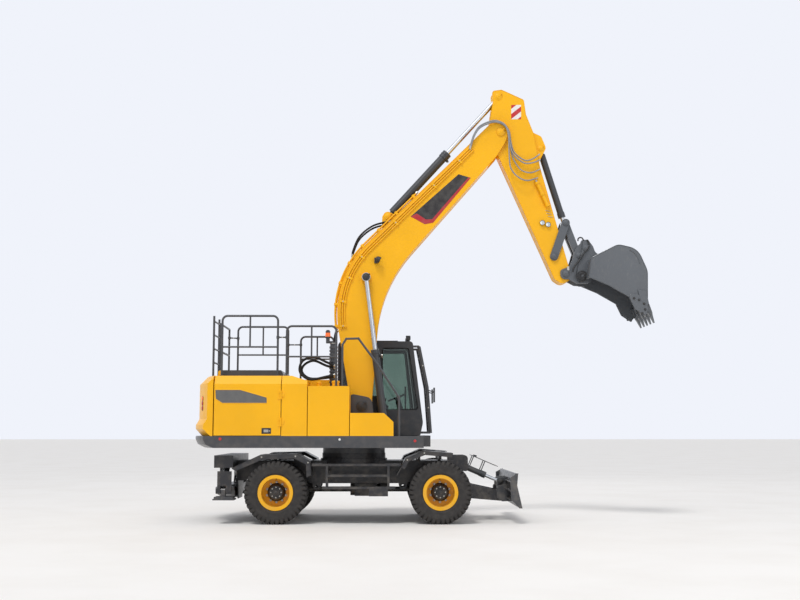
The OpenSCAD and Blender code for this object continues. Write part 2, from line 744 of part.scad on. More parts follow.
module upper_frame() {
    skirt_t = 70;
    front_x1 = 1400;
    ear_gap = 50;
    ear_t = 22;
    color(dark) difference() {
        union() {
            // Skirt round the deck
            difference() {
                translate([0, 0, deck_z0]) linear_extrude(deck_z1 - deck_z0)
                    polygon([[door_x0, -wall_y], [skirt_x1, -wall_y], [skirt_x1, 300], [front_x1, 330],
                        [front_x1, wall_y], [door_x0, wall_y]]);
                translate([0, 0, floor_z]) linear_extrude(deck_z1 - deck_z0)
                    polygon([[door_x0 + skirt_t, -wall_y + skirt_t], [skirt_x1 - skirt_t, -wall_y + skirt_t],
                        [skirt_x1 - skirt_t, 340], [front_x1 - skirt_t, 340],
                        [front_x1 - skirt_t, wall_y - skirt_t], [door_x0 + skirt_t, wall_y - skirt_t]]);
            }
            // Dark tail below the counterweight
            tail_solid(door_x0, [[tail_r - 160, deck_z0], [tail_r - 40, deck_z0 + 60], [tail_r, deck_z0 + 150],
                [tail_r, deck_z1 - 8], [tail_r - 10, deck_z1]]);
            // Centre section under the boom foot
            block([-1150, -400, deck_z0], [430, 400, deck_z1]);
            // Inner race plate of the bearing
            translate([0, 0, 1180]) cylinder(r = 560, h = deck_z0 - 1180 + 10, $fn = 96);
            // Ears of the boom cylinders' bases
            for (side = [-1, 1], y = [-ear_gap - ear_t, ear_gap])
                plate(side * boom_cyl_y + y, side * boom_cyl_y + y + ear_t)
                    polygon(outline([[440, floor_z - 10, 0], [480, 1575, 90], [660, 1575, 90], [695, floor_z - 10, 0]]));
            // Boom tower: two cheeks that hold the foot pin
            both_plates(tower_y, tower_y + tower_t)
                polygon(outline([[-520, deck_z1 - 10, 0], [-430, 1750, 80], [-40, 2230, 90], [320, 2160, 120],
                    [400, deck_z1 - 10, 0]]));
        }
        // Hollow of the bearing
        translate([0, 0, 1180 - 1]) cylinder(r = 300, h = 60, $fn = 72);
    }
    color(steel) {
        bar_y(boom_foot, boom_pin_r, -tower_y - tower_t - 15, tower_y + tower_t + 15);
        for (side = [-1, 1])
            bar_y(boom_base, cyl_pin_r, side * boom_cyl_y - ear_gap - ear_t, side * boom_cyl_y + ear_gap + ear_t);
    }
}

module counterweight() {
    color(yellow) tail_solid(door_x0 - panel_gap, [[tail_r - 110, deck_z1], [tail_r, deck_z1 + 120],
        [tail_r, deck_z1 + 190], [tail_r - 58, deck_z1 + 290], [tail_r - 58, 2380], [tail_r - 190, hood_z]]);
}

module engine_block() {
    color(grey) block([door_x0 + 213, -420, floor_z], [door_x1 - engine_gap, 420, 2250]);
}

// Side wall profile with the sloping shoulder: from y to the inside, for the left side
module wall_profile(z0, z1) {
    polygon([[wall_y, z0], [wall_y, chamfer_z], [wall_y - chamfer_y, z1], [wall_y - chamfer_y - panel_t, z1],
        [wall_y - chamfer_y - panel_t, z1 - panel_t], [wall_y - panel_t, chamfer_z - 18], [wall_y - panel_t, z0]]);
}

module right_body() {
    color(yellow) {
        // Pump cabinet, sloping forward at the top
        intersection() {
            cross_plate(door_x1 + panel_gap / 2, tank_x0 - panel_gap / 2) mirror([1, 0])
                polygon([[420, deck_z1], [wall_y, deck_z1], [wall_y, chamfer_z], [wall_y - chamfer_y, hood_z], [420, hood_z]]);
            plate(-1300, 0) polygon([[-1300, 1400], [-700, 1400], [-700, 2405], [-770, 2425], [-1040, hood_z],
                [-1300, hood_z]]);
        }
        // Fuel tank
        plate(-wall_y, -420)
            polygon(outline([[tank_x0 + panel_gap / 2, deck_z1, 0], [tank_x1 - panel_gap / 2, deck_z1, 0],
                [tank_x1 - panel_gap / 2, tank_z, 20], [tank_x0 + panel_gap / 2, tank_z, 20]]));
        // Bay frame behind the tank: top rails that carry the guard rails
        block([door_x0 - panel_gap, -wall_y + chamfer_y + panel_t + panel_gap, hood_z - 60],
            [door_x1 + panel_gap / 2, -lid_half - 6, hood_z]);
        mirror([0, 1, 0]) lid_ear();
        for (z = door_hinges) translate([door_x1, -wall_y - hinge_r, z]) mirror([0, 1, 0]) hinge_fixed(1);
        // Filler necks on the tank
        translate([-600, -780, tank_z]) cylinder(r = 45, h = 60);
        translate([-300, -900, tank_z]) cylinder(r = 62, h = 70);
    }
}

module tool_box() {
    color(yellow) plate(-wall_y, -420)
        polygon(outline([[tank_x1 + panel_gap / 2, deck_z1, 0], [box_x1, deck_z1, 0], [box_x1, 1722, 25],
            [543, box_z, 25], [tank_x1 + panel_gap / 2, box_z, 0]]));
}

module left_body() {
    color(yellow) {
        cross_plate(door_x1 + panel_gap / 2, cab_x0 - 25)
            polygon([[420, deck_z1], [wall_y, deck_z1], [wall_y, chamfer_z], [wall_y - chamfer_y, hood_z], [420, hood_z]]);
        block([door_x0 - panel_gap, lid_half + 6, hood_z - 60],
            [door_x1 + panel_gap / 2, wall_y - chamfer_y - panel_t - panel_gap, hood_z]);
        lid_ear();
        for (z = door_hinges) translate([door_x1, wall_y + hinge_r, z]) hinge_fixed(1);
        // Firewall and the cover of the valves between the cabinets
        block([door_x1 + panel_gap / 2, -420, deck_z1], [door_x1 + 60, 420, hood_z]);
        block([door_x1 + 60, -420, deck_z1], [-560, 420, 2120]);
    }
}

// The vent's outline in the side of a door, and its recess
vent_x1 = door_x1 - vent_margin;
vent_shape = [[door_x0 + 33, 2114], [door_x0 + 25, 2270], [door_x0 + 451, 2270], [vent_x1, 2139], [vent_x1, 2041],
    [door_x0 + 148, 2041]];
module side_door() {
    difference() {
        cross_plate(door_x0 + panel_gap / 2, door_x1 - panel_gap / 2) wall_profile(deck_z1 + 8, hood_z);
        plate(wall_y - 14, wall_y + 5) polygon(vent_shape);
        // Latch pocket
        block([-1542, wall_y - 12, 1520], [-1378, wall_y + 5, 1622]);
    }
    // Louvres in the vent
    for (i = [0:8]) intersection() {
        block([door_x0 + 20, wall_y - 15, 2052 + i * 25], [vent_x1 + 7, wall_y - 3, 2062 + i * 25]);
        plate(wall_y - 15, wall_y) polygon(vent_shape);
    }
    for (z = door_hinges) translate([door_x1, wall_y + hinge_r, z]) hinge_moving(-1);
}

module right_rear_door() {
    color(yellow) mirror([0, 1, 0]) side_door();
}

module left_rear_door() {
    color(yellow) side_door();
}

module engine_hood() {
    lid_y = lid_half;
    flange = 40;
    color(dark) difference() {
        plate(-lid_y, lid_y) polygon([[door_x0 + 15, hood_z - 20], [door_x1 - panel_gap, hood_z - 20],
            [door_x1 - panel_gap, hood_z + 60], [-1260, hood_z + 110], [door_x0 + 40, hood_z + 110],
            [door_x0 + 15, hood_z + 80]]);
        plate(-lid_y + flange, lid_y - flange) polygon([[door_x0 + 15 + flange, hood_z - 30],
            [door_x1 - panel_gap - flange, hood_z - 30], [door_x1 - panel_gap - flange, hood_z + 50],
            [-1280, hood_z + 70], [door_x0 + 15 + flange, hood_z + 70]]);
        bar_y(lid_pin, 12 + pin_play, -lid_y - 10, lid_y + 10);
    }
}

// Cab

// Side outline of the cab
cab_outline = outline([[cab_x0, deck_z1, 0], [cab_x0, cab_z1, 90], [1075, cab_z1, 60], [cab_x1, 1720, 200],
    [1215, deck_z1, 30]]);
// Length along X of the front above its bend, and below it
function front_at(z) = 1075 + (cab_x1 - 1075) * (cab_z1 - z) / (cab_z1 - 1720);
function front_below(z) = 1215 + (cab_x1 - 1215) * (z - deck_z1) / (1720 - deck_z1);
// The same outline drawn in by the wall
cab_inside = outline([[cab_x0 + cab_wall, deck_z1 + 60, 0], [cab_x0 + cab_wall, cab_z1 - cab_wall, 50],
    [1035, cab_z1 - cab_wall, 40], [cab_x1 - cab_wall, 1720, 160], [1170, deck_z1 + 60, 0]]);
door_shape = outline([[-60, deck_z1 + 70, 40], [-60, cab_z1 - 100, 80], [985, cab_z1 - 100, 60],
    [1130, 1900, 200], [1090, deck_z1 + 70, 40]]);
right_window = outline([[505, 1960, 40], [505, cab_z1 - 120, 40], [1010, cab_z1 - 120, 50], [1185, 1960, 60]]);
rear_side_window = outline([[cab_x0 + 90, 2200, 40], [cab_x0 + 90, cab_z1 - 120, 40], [440, cab_z1 - 120, 40],
    [440, 2200, 40]]);
door_window = outline([[10, 1980, 40], [10, cab_z1 - 160, 50], [945, cab_z1 - 160, 50], [1068, 1900, 60]]);

module cab_shell() {
    color(dark) difference() {
        plate(cab_y0, wall_y) polygon(cab_outline);
        plate(cab_y0 + cab_wall, wall_y - cab_wall) polygon(cab_inside);
        // Windows of the right wall
        plate(cab_y0 - 10, cab_y0 + cab_wall + 10) {
            polygon(right_window);
            polygon(rear_side_window);
        }
        // Doorway
        plate(wall_y - cab_wall - 10, wall_y + 10) polygon(door_shape);
        // Rear window, windscreen and its lower pane
        block([cab_x0 - 10, cab_y0 + 110, 2250], [cab_x0 + cab_wall + 10, wall_y - 110, cab_z1 - 130]);
        block([1000, cab_y0 + 70, 1960], [1400, wall_y - 70, cab_z1 - 110]);
        block([1130, cab_y0 + 70, 1620], [1400, wall_y - 70, 1900]);
    }
    color(dark) {
        for (z = cab_hinges) translate([cab_hinge_x, wall_y + hinge_r, z]) hinge_fixed(-1);
        // Roof hatch
        block([150, cab_y0 + 200, cab_z1], [800, wall_y - 200, cab_z1 + 28]);
        // Lamps on the roof's front edge
        for (y = [cab_y0 + 110, wall_y - 110]) {
            block([960, y - 20, cab_z1], [1000, y + 20, cab_z1 + 30]);
            block([950, y - 60, cab_z1 + 30], [1030, y + 60, cab_z1 + 110]);
        }
    }
}

module cab_glass() {
    color(glass) {
        plate(cab_y0 + 20, cab_y0 + 20 + glass_t) {
            polygon(right_window);
            polygon(rear_side_window);
        }
        block([cab_x0 + 22, cab_y0 + 110, 2250], [cab_x0 + 22 + glass_t, wall_y - 110, cab_z1 - 130]);
        // Windscreen and its lower pane
        plate(cab_y0 + 70, wall_y - 70) polygon([[front_at(cab_z1 - 110) - 26, cab_z1 - 110],
            [front_at(cab_z1 - 110) - 20, cab_z1 - 110], [front_at(1960) - 20, 1960], [front_at(1960) - 26, 1960]]);
        block([1218, cab_y0 + 70, 1620], [1218 + glass_t, wall_y - 70, 1900]);
    }
}

seat_y = (cab_y0 + wall_y) / 2;
seat_z = 1800;
// Middle of each console, measured from the seat's
console_y = (wall_y - cab_y0) / 2 - 115;
cab_floor_z = deck_z1 + 60;

// Cushion, backrest and headrest
module operator_seat() {
    color(black) translate([0, seat_y, 0]) {
        plate(-console_y + 70, console_y - 70) polygon(outline([[110, seat_z, 30], [610, seat_z, 50], [630, seat_z + 130, 60],
            [110, seat_z + 110, 30]], 6));
        plate(-console_y + 85, console_y - 85) polygon(outline([[110, seat_z + 95, 0], [225, seat_z + 125, 60], [140, 2480, 60],
            [20, 2480, 40], [60, 2150, 200]], 6));
        plate(-140, 140) polygon(outline([[30, 2480, 0], [110, 2480, 0], [120, 2640, 40], [20, 2640, 40]], 6));
    }
}

// What the operator works with: seat stand, consoles with levers, steering wheel, pedals and screen
module operator_station() {
    wheel_axis = unit([-0.36, 0.93]);
    wheel_at = [800, 2170];
    color(black) translate([0, seat_y, 0]) {
        block([170, -180, cab_floor_z], [520, 180, cab_floor_z + 90]);
        plate(-150, 150) polygon([[200, cab_floor_z + 90], [490, cab_floor_z + 90], [540, seat_z], [150, seat_z]]);
        // Consoles beside the seat with a lever and a boot on each
        for (side = [-1, 1]) {
            plate(side * console_y - 55, side * console_y + 55) polygon(outline([[130, cab_floor_z, 0], [400, cab_floor_z, 0],
                [560, 1930, 60], [640, 2020, 40], [600, 2060, 30], [150, 1990, 50]]));
            translate([555, side * console_y, 2035]) {
                cylinder(r1 = 42, r2 = 22, h = 55);
                cylinder(r = 11, h = 120);
                translate([0, 0, 120]) sphere(r = 27);
            }
        }
        // Steering column and wheel
        let(foot = [1010, cab_floor_z], top = wheel_at) plate(-45, 45)
            polygon([[foot[0] - 70, foot[1]], [foot[0] + 30, foot[1]], [top[0] + 50, top[1] - 20], [top[0] - 45, top[1] - 55]]);
        translate([wheel_at[0], 0, wheel_at[1]]) rotate([0, 90 - heading([0, 0], wheel_axis), 0]) {
            rotate_extrude() translate([175, 30]) circle(r = 15);
            translate([0, 0, -80]) cylinder(r = 45, h = 120);
            for (a = [90, 210, 330]) rotate([0, 0, a]) block([0, -14, 18], [170, 14, 34]);
        }
        // Pedals
        for (side = [-1, 1]) plate(side * 130 - 40, side * 130 + 40)
            polygon([[880, cab_floor_z], [900, cab_floor_z], [1010, cab_floor_z + 130], [995, cab_floor_z + 145]]);
        // Screen on its stalk by the front pillar
        rod3([940, -console_y - 10, cab_floor_z], [940, -console_y - 10, 2210], 14);
        block([925, -console_y - 75, 2200], [955, -console_y + 65, 2390]);
    }
}

// Rails

rail_r = 19;
// An upright loop of tube in a plane of constant Y
module rail_loop(x0, x1, foot0, foot1, z1, y, bend) {
    translate([x0, y, foot0]) cylinder(r = rail_r, h = z1 - bend - foot0, $fn = 16);
    // Foot flanges
    translate([x0, y, foot0]) cylinder(r = rail_r + 24, h = 12, $fn = 24);
    translate([x1, y, foot1]) cylinder(r = rail_r + 24, h = 12, $fn = 24);
    translate([x1, y, foot1]) cylinder(r = rail_r, h = z1 - bend - foot1, $fn = 16);
    bar_x(x0 + bend, x1 - bend, y, z1, rail_r);
    translate([x0 + bend, y, z1 - bend]) rotate([90, 0, 180])
        rotate_extrude(angle = 90) translate([bend, 0]) circle(rail_r, $fn = 16);
    translate([x1 - bend, y, z1 - bend]) rotate([90, 0, 0])
        rotate_extrude(angle = 90) translate([bend, 0]) circle(rail_r, $fn = 16);
}

module guard_rails() {
    rail_y = 1040;
    cross_x = -2425;
    // Loops along both sides: ends, feet, top, middle bar, and the side
    color(dark) for (row = [[-2267, -1303, hood_z, hood_z, 3560, 3019, -1], [-2267, -1303, hood_z, hood_z, 3560, 3019, 1],
            [-1147, -287, hood_z, tank_z, 3382, 2851, -1], [-1060, -430, hood_z, hood_z, 3370, 2940, 1]]) {
        y = row[6] * rail_y;
        rail_loop(row[0], row[1], row[2], row[3], row[4], y, 90);
        translate([(row[0] + row[1]) / 2, y, row[5]]) cylinder(r = rail_r * 0.8, h = row[4] - row[5], $fn = 16);
        bar_x(row[0], row[1], y, row[5], rail_r * 0.8);
    }
    // Handrail in front of the tank
    hand = [[-175, tank_z], [-175, 3050], [-110, 3150], [100, 3156], [428, 2715], [800, 2140], [800, deck_z1]];
    color(dark) for (i = [0:len(hand) - 2]) {
        rod3([hand[i][0], -1180, hand[i][1]], [hand[i + 1][0], -1180, hand[i + 1][1]], rail_r);
        if (i > 0) translate([hand[i][0], -1180, hand[i][1]]) sphere(r = rail_r + 3);
    }
    // Cross loop and ladder on the counterweight
    color(dark) {
        for (y = [-180, 960]) translate([cross_x, y, hood_z]) cylinder(r = rail_r, h = 985, $fn = 16);
        for (z = [hood_z + 485, hood_z + 985]) bar_y([cross_x, z], rail_r, -180, 960);
        for (y = [-960, -350]) translate([cross_x, y, hood_z]) cylinder(r = rail_r, h = 1050, $fn = 16);
        for (i = [1:4]) bar_y([cross_x, hood_z + i * 240], rail_r * 0.8, -960, -350);
    }
}

module intake_stack() {
    color(dark) {
        translate([-360, -500, tank_z]) {
            cylinder(r = 62, h = 813);
            for (i = [0:10]) translate([0, 0, 80 + i * 62]) cylinder(r = 75, h = 34);
            // Arm of the beacon
            block([-115, -20, 790], [0, 20, 830]);
            translate([-103, 0, 790]) cylinder(r = 34, h = 115);
            translate([-103, 0, 905]) cylinder(r = 42, h = 105);
            translate([-103, 0, 1010]) cylinder(r = 30, h = 18);
        }
    }
}

module cab_rails() {
    color(dark) {
        for (y = [cab_y0 + 40, wall_y - 40]) {
            rod3([1190, y, 3143], [1341, y, 2378], 19);
            rod3([1341, y, 2378], [1400, y, 1532], 19);
            translate([1341, y, 2378]) sphere(r = 22);
            // Brackets against the cab's front
            plate(y - 8, y + 8) polygon([[front_at(3160), 3160], [front_at(3120), 3120], [1200, 3120], [1200, 3160]]);
            plate(y - 8, y + 8) polygon([[front_below(1520), 1520], [front_below(1560), 1560], [1400, 1560], [1400, 1520]]);
        }
        // Mirrors and their arms
        for (row = [[cab_y0 + 40, cab_y0 + 45, 385], [wall_y - 40, wall_y + 20, wall_y + 5]]) {
            rod3([1341, row[0], 2330], [1475, row[1], 2290], 10);
            block([1460, row[2], 2100], [1490, row[2] + 135, 2370]);
        }
        for (row = [[1220, 2953], [1277, 2681], [1346, 2300], [1356, 2160], [1371, 1945], [1388, 1700]])
            bar_y(row, 14, cab_y0 + 40, wall_y - 40);
    }
}

module cab_door() {
    color(dark) difference() {
        plate(wall_y - cab_wall + 2, wall_y) polygon(door_shape_inset);
        plate(wall_y - cab_wall - 10, wall_y + 10) polygon(door_window);
    }
    color(dark) for (z = cab_hinges) translate([cab_hinge_x, wall_y + hinge_r, z]) hinge_moving(1);
}
door_shape_inset = outline([[-54, deck_z1 + 76, 36], [-54, cab_z1 - 106, 76], [981, cab_z1 - 106, 56],
    [1124, 1900, 196], [1084, deck_z1 + 76, 36]]);

module door_glass() {
    color(glass) plate(wall_y - 30, wall_y - 30 + glass_t) polygon(door_window);
}

// Boom, drawn in its own frame and placed at its foot pin

module at_boom() {
    translate([boom_foot[0], 0, boom_foot[1]]) rotate([0, -boom_angle, 0]) children();
}

boom_outline = outline([[-150, 30, 110], [-60, 185, 60], [1800, 1560, 1780], [boom_len, 255, 60],
    [boom_len + 180, 100, 100], [boom_len + 170, -110, 100], [boom_len - 130, -160, 60],
    [boom_len - 440, -130, 100], [2087, 676, 2600], [130, -130, 60],
    [-110, -130, 110]], 10);

// Centre and ends of the boom's outer bend
bend_prev = [-60, 185];
bend_corner = [1800, 1560];
bend_next = [boom_len, 255];
bend_r = 1780;
bend_arc = corner_arc(bend_prev, bend_corner, bend_next, bend_r, 1);
bend_mid = bend_corner + unit(unit(bend_prev - bend_corner) + unit(bend_next - bend_corner))
    * bend_r / sin(acos(unit(bend_prev - bend_corner) * unit(bend_next - bend_corner)) / 2);
// Clamps for the steel pipes along the outside of the bend and on towards the nose
module pipe_clamps() {
    lift = 42;
    a1 = heading(bend_mid, bend_arc[0]);
    a2 = heading(bend_mid, bend_arc[1]);
    last = unit(bend_next - bend_corner);
    for (side = [-1, 1]) {
        for (i = [0:4]) let(a = a2 + (a1 - a2) * (0.04 + 0.23 * i))
            translate([bend_mid[0], side * 150, bend_mid[1]]) rotate([0, -a, 0])
                block([bend_r - 20, -48, -22], [bend_r + lift + 24, 48, 22]);
        for (s = [350, 800, 1250]) let(c = bend_arc[1] + last * s)
            translate([c[0], side * 150, c[1]]) rotate([0, -heading([0, 0], last), 0])
                block([-22, -48, -20], [22, 48, lift + 24]);
    }
}

// What the arm sweeps between the nose ears
module nose_slot() {
    translate([boom_len, 0]) circle(r = 610, $fn = 64);
    polygon([[boom_len - 660, -300], [boom_len - 660, -95], [boom_len - 590, 60], [boom_len, -300]]);
}

module boom() {
    ear_t = 32;
    color(yellow) at_boom() {
        difference() {
            union() {
                plate(-boom_half_w, boom_half_w) polygon(boom_outline);
                pipe_clamps();
                // Foot boss
                bar_y([0, 0], 130, -tower_y + side_gap, tower_y - side_gap);
                // Boss of the boom cylinders' rod pin
                bar_y(boom_rod_pin, 95, -boom_half_w - 30, boom_half_w + 30);
                // Ears of the arm cylinder's base
                both_plates(arm_cyl_eye / 2 + 16, arm_cyl_eye / 2 + 16 + ear_t)
                    polygon(outline([[2980, 1080, 0], [3200, 1210, 80], [3290, 1252, 80], [3425, 1240, 80],
                        [3425, 1030, 0], [3500, 880, 0], [3000, 900, 0]]));
            }
            // Slot for the arm between the nose ears
            plate(-arm_half_w - side_gap, arm_half_w + side_gap) nose_slot();
            bar_y([0, 0], boom_pin_r + pin_play, -400, 400);
        }
    }
    color(steel) at_boom() {
        bar_y([boom_len, 0], nose_pin_r, -boom_half_w - 12, boom_half_w + 12);
        bar_y(arm_base, cyl_pin_r, -arm_cyl_eye / 2 - 16 - ear_t, arm_cyl_eye / 2 + 16 + ear_t);
    }
}

boom_rest = norm(boom_point(boom_rod_pin) - boom_base);
boom_barrel_len = 1560;
module boom_barrels() {
    color(dark) for (side = [-1, 1])
        along(boom_base, boom_point(boom_rod_pin), side * boom_cyl_y)
            cylinder_barrel(boom_barrel_len, 70, 85, 84, cyl_pin_r, 43);
}

module boom_rods() {
    color(steel) for (side = [-1, 1])
        along(boom_base, boom_point(boom_rod_pin), side * boom_cyl_y)
            cylinder_rod(boom_rest, 1060, 43, 78, 84);
}

// Arm

module at_arm() {
    translate([boom_nose[0], 0, boom_nose[1]]) rotate([0, -arm_angle, 0]) children();
}

arm_outline = outline([[-790, 190, 50], [-740, 360, 60], [-400, 660, 60], [-130, 580, 60], [250, 560, 200],
    [900, 400, 400], [2780, 110, 100], [3030, 90, 110], [3040, -140, 110], [2900, -225, 100],
    [330, -215, 200], [-120, -190, 100], [-600, 120, 100]], 6);

module arm() {
    ear_y = 74;
    ear_t = 36;
    color(yellow) at_arm() {
        difference() {
            union() {
                plate(-arm_half_w, arm_half_w) polygon(arm_outline);
                // Ears of the bucket cylinder's base
                both_plates(ear_y, ear_y + ear_t)
                    polygon(outline([[150, 500, 0], [360, 680, 80], [600, 670, 90], [860, 350, 0], [300, 400, 0]]));
            }
            bar_y([0, 0], nose_pin_r + pin_play, -300, 300);
            bar_y([arm_len, 0], tip_pin_r + pin_play, -300, 300);
            bar_y(rocker_pin, rocker_pin_r + pin_play, -300, 300);
            // Fork for the arm cylinder's rod
            plate(-58, 58) polygon([[-900, -150], [-320, -150], [-400, 300], [-500, 800], [-900, 800]]);
            // Room for the bucket cylinder
            plate(-ear_y, ear_y) link_shape(bucket_base, bucket_base + [700, -86], 100, 90);
        }
    }
    color(steel) at_arm() bar_y(bucket_base, rocker_pin_r, -ear_y - ear_t, ear_y + ear_t);
}

arm_rest = norm(arm_point(arm_rod_pin) - boom_point(arm_base));
arm_barrel_len = 1640;
module arm_barrel() {
    color(dark) along(boom_point(arm_base), arm_point(arm_rod_pin), 0)
        cylinder_barrel(arm_barrel_len, 80, 90, arm_cyl_eye, cyl_pin_r, 47);
}

module arm_rod() {
    color(steel) along(boom_point(arm_base), arm_point(arm_rod_pin), 0)
        cylinder_rod(arm_rest, 1300, 47, 80, arm_cyl_eye);
}

bucket_rest = norm(arm_point(rocker_tip) - arm_point(bucket_base));
// Room between the gland and the rod's eye as the bucket stands
bucket_gland_gap = 68;
bucket_barrel_len = bucket_rest - 66 - bucket_gland_gap;
module bucket_barrel() {
    color(dark) along(arm_point(bucket_base), arm_point(rocker_tip), 0)
        cylinder_barrel(bucket_barrel_len, 62, 72, arm_cyl_eye, rocker_pin_r, 40);
}

module bucket_rod() {
    color(steel) along(arm_point(bucket_base), arm_point(rocker_tip), 0)
        cylinder_rod(bucket_rest, 185, 40, 66, arm_cyl_eye);
}

module rocker() {
    a = arm_point(rocker_pin);
    b = arm_point(rocker_tip);
    y0 = arm_half_w + 6;
    y1 = arm_half_w + 36;
    color(grey) {
        both_plates(y0, y1) link_shape(a, b, 75, 75);
        bar_y(a, rocker_pin_r, -y1 - 10, y1 + 10);
        // Caps of the pin that joins rocker, link and cylinder
        for (side = [-1, 1]) bar_y(b, rocker_pin_r, side * (y1 + 4) - 8, side * (y1 + 4) + 8);
    }
}

module link() {
    a = arm_point(rocker_tip);
    b = arm_tip + coupler_link_pin;
    y0 = arm_cyl_eye / 2 + 10;
    y1 = arm_half_w - 4;
    color(grey) {
        difference() {
            union() {
                both_plates(y0, y1) link_shape(a, b, 66, 56);
                bar_y(b, 56, -y1, y1);
                // Web between the two plates
                m = (a + b) / 2;
                bar_y(m + (b - a) * 0.12, 42, -y1, y1);
            }
            bar_y(b, rocker_pin_r + pin_play, -200, 200);
        }
    }
}

module quick_coupler() {
    t = arm_tip;
    y0 = arm_half_w + side_gap;
    y1 = y0 + 34;
    color(grey) {
        difference() {
            union() {
                both_plates(y0, y1) translate(t)
                    polygon(outline([[-100, 75, 70], [-100, -100, 90], [60, -105, 0], [200, -180, 60], [330, -186, 40],
                        [346, -125, 0], [388, 228, 0], [480, 292, 40], [480, 520, 60], [330, 620, 50], [190, 480, 90],
                        [120, 250, 90], [60, 120, 60]]));
                // Body between the cheeks, clear of the arm's end and of the link
                plate(-y0 - 5, y0 + 5) translate(t)
                    polygon(outline([[258, -120, 20], [330, -150, 20], [346, -125, 0], [388, 228, 0], [440, 300, 20],
                        [450, 540, 40], [345, 560, 30], [335, 420, 40], [322, 260, 40], [268, 60, 40]]));
            }
            for (p = [coupler_low_pin, coupler_top_pin]) bar_y(t + p, 40 + pin_play, -300, 300);
        }
        bar_y(t, tip_pin_r, -y1 - 12, y1 + 12);
        bar_y(t + coupler_link_pin, rocker_pin_r, -y1 - 6, y1 + 6);
        // Lifting hook on the back
        plate(-20, 20) translate(t) translate([372, 600]) difference() {
            union() {
                circle(62);
                polygon([[-10, -80], [66, -80], [58, 10], [-10, 10]]);
            }
            circle(34);
            polygon([[-80, 14], [0, 0], [-60, -90], [-100, -90]]);
        }
    }
}

// Side outline of the bucket from the tip pin, and the same with its mouth drawn out
bucket_back = [[400, 235, 60], [678, 377, 200], [890, 480, 200], [1240, 400, 300], [1410, 0, 300], [1398, -500, 100],
    [1432, -720, 0]];
// A row list drawn in to the right of its direction by t, corner by corner
function drawn_in(rows, t) = let(k = len(rows), p = [for (q = rows) [q[0], q[1]]])
    [for (i = [0:k - 1]) let(a = unit(p[i] - p[(i + k - 1) % k]), b = unit(p[(i + 1) % k] - p[i]),
        m = [a[1] + b[1], -a[0] - b[0]], s = t / (1 + a * b), turn = a[0] * b[1] - a[1] * b[0])
        [p[i][0] + m[0] * s, p[i][1] + m[1] * s, rows[i][2] == 0 ? 0 : rows[i][2] + (turn < 0 ? -t : t)]];
bucket_side = outline(concat([[354, -115, 0]], bucket_back,
    [[1340, -790, 30], [1178, -674, 40], [1080, -479, 100], [700, -260, 100]]), 5);
bucket_hollow = outline(drawn_in(concat([[290, -330, 0], [354, -115, 0]], bucket_back, [[1500, -1100, 0]]), bucket_t), 5);
wear_out = drawn_in(concat([[354, -115, 0]], bucket_back, [[1500, -1100, 0]]), -14);
wear_rows = [[900, 380, 0], [900, 478, 0], wear_out[4], wear_out[5], wear_out[6], [1385, -520, 0], [1380, 0, 250]];
// Tooth and adapter, drawn along +X from the lip, in the bucket's side plane
tooth_root = [1408, -655];
tooth_angle = -68.4;
tooth_reach = 304;
module bucket() {
    t = arm_tip;
    half = bucket_w / 2;
    ear_y = arm_half_w + side_gap + 42;
    ear_t = 40;
    color(grey) {
        difference() {
            plate(-half, half) translate(t) polygon(bucket_side);
            plate(-half + bucket_t, half - bucket_t) translate(t) polygon(bucket_hollow);
        }
        // Adapters and teeth on the lip
        for (i = [0:teeth - 1])
            translate([t[0] + tooth_root[0], (i / (teeth - 1) - 0.5) * (bucket_w - 150), t[1] + tooth_root[1]])
                rotate([0, -tooth_angle, 0]) {
                    plate(-48, 48) polygon([[-90, -42], [-90, 12], [-40, 44], [110, 36], [140, 30], [140, -30], [110, -36]]);
                    plate(-38, 38) polygon([[120, 32], [tooth_reach, 5], [tooth_reach, -5], [120, -32]]);
                }
        // Side cutters
        both_plates(half, half + 18) translate(t)
            polygon(outline([[1050, -440, 40], [1200, -420, 60], [1370, -520, 40], [1400, -700, 40], [1353, -815, 20],
                [1165, -690, 30]]));
        // Wear strips round the back
        for (y = [-420, 0, 420]) difference() {
            plate(y - 35, y + 35) translate(t)
                polygon(outline(wear_rows, 5));
            plate(y - 40, y + 40) translate(t) polygon(bucket_hollow);
        }
        // Ears with the two pins that the coupler holds
        both_plates(ear_y, ear_y + ear_t) translate(t)
            polygon(outline([[200, -120, 60], [300, -190, 60], [420, -180, 60], [500, -60, 40], [700, 372, 0],
                [560, 330, 100], [500, 500, 60], [400, 640, 50], [320, 600, 40], [290, 400, 200], [210, 100, 100]]));
        for (p = [coupler_low_pin, coupler_top_pin]) bar_y(t + p, 40, -ear_y - ear_t - 10, ear_y + ear_t + 10);
    }
}

module placed() {
    translate([swing_x, 0, 0]) children();
}

placed() chassis_frame();
placed() slew_ring();
placed() rear_axle();
placed() front_axle();
placed() drive_line();
placed() steps();
placed() mudguards();
placed() knuckle_left();
placed() knuckle_right();
placed() tie_rod();
placed() tyres_front_left();
placed() tyres_front_right();
placed() tyres_rear_left();
placed() tyres_rear_right();
placed() rims_front_left();
placed() rims_front_right();
placed() rims_rear_left();
placed() rims_rear_right();
placed() blade_arms();
placed() blade_board();
placed() blade_barrels();
placed() blade_rods();
placed() outrigger_arm_left();
placed() outrigger_arm_right();
placed() outrigger_pad_left();
placed() outrigger_pad_right();
placed() outrigger_barrel_left();
placed() outrigger_barrel_right();
placed() outrigger_rod_left();
placed() outrigger_rod_right();
placed() upper_frame();
placed() counterweight();
placed() engine_block();
placed() right_body();
placed() tool_box();
placed() left_body();
placed() cab_shell();
placed() cab_glass();
placed() operator_station();
placed() operator_seat();
placed() guard_rails();
placed() intake_stack();
placed() cab_rails();
placed() cab_door();
placed() door_glass();
placed() right_rear_door();
placed() left_rear_door();
placed() engine_hood();
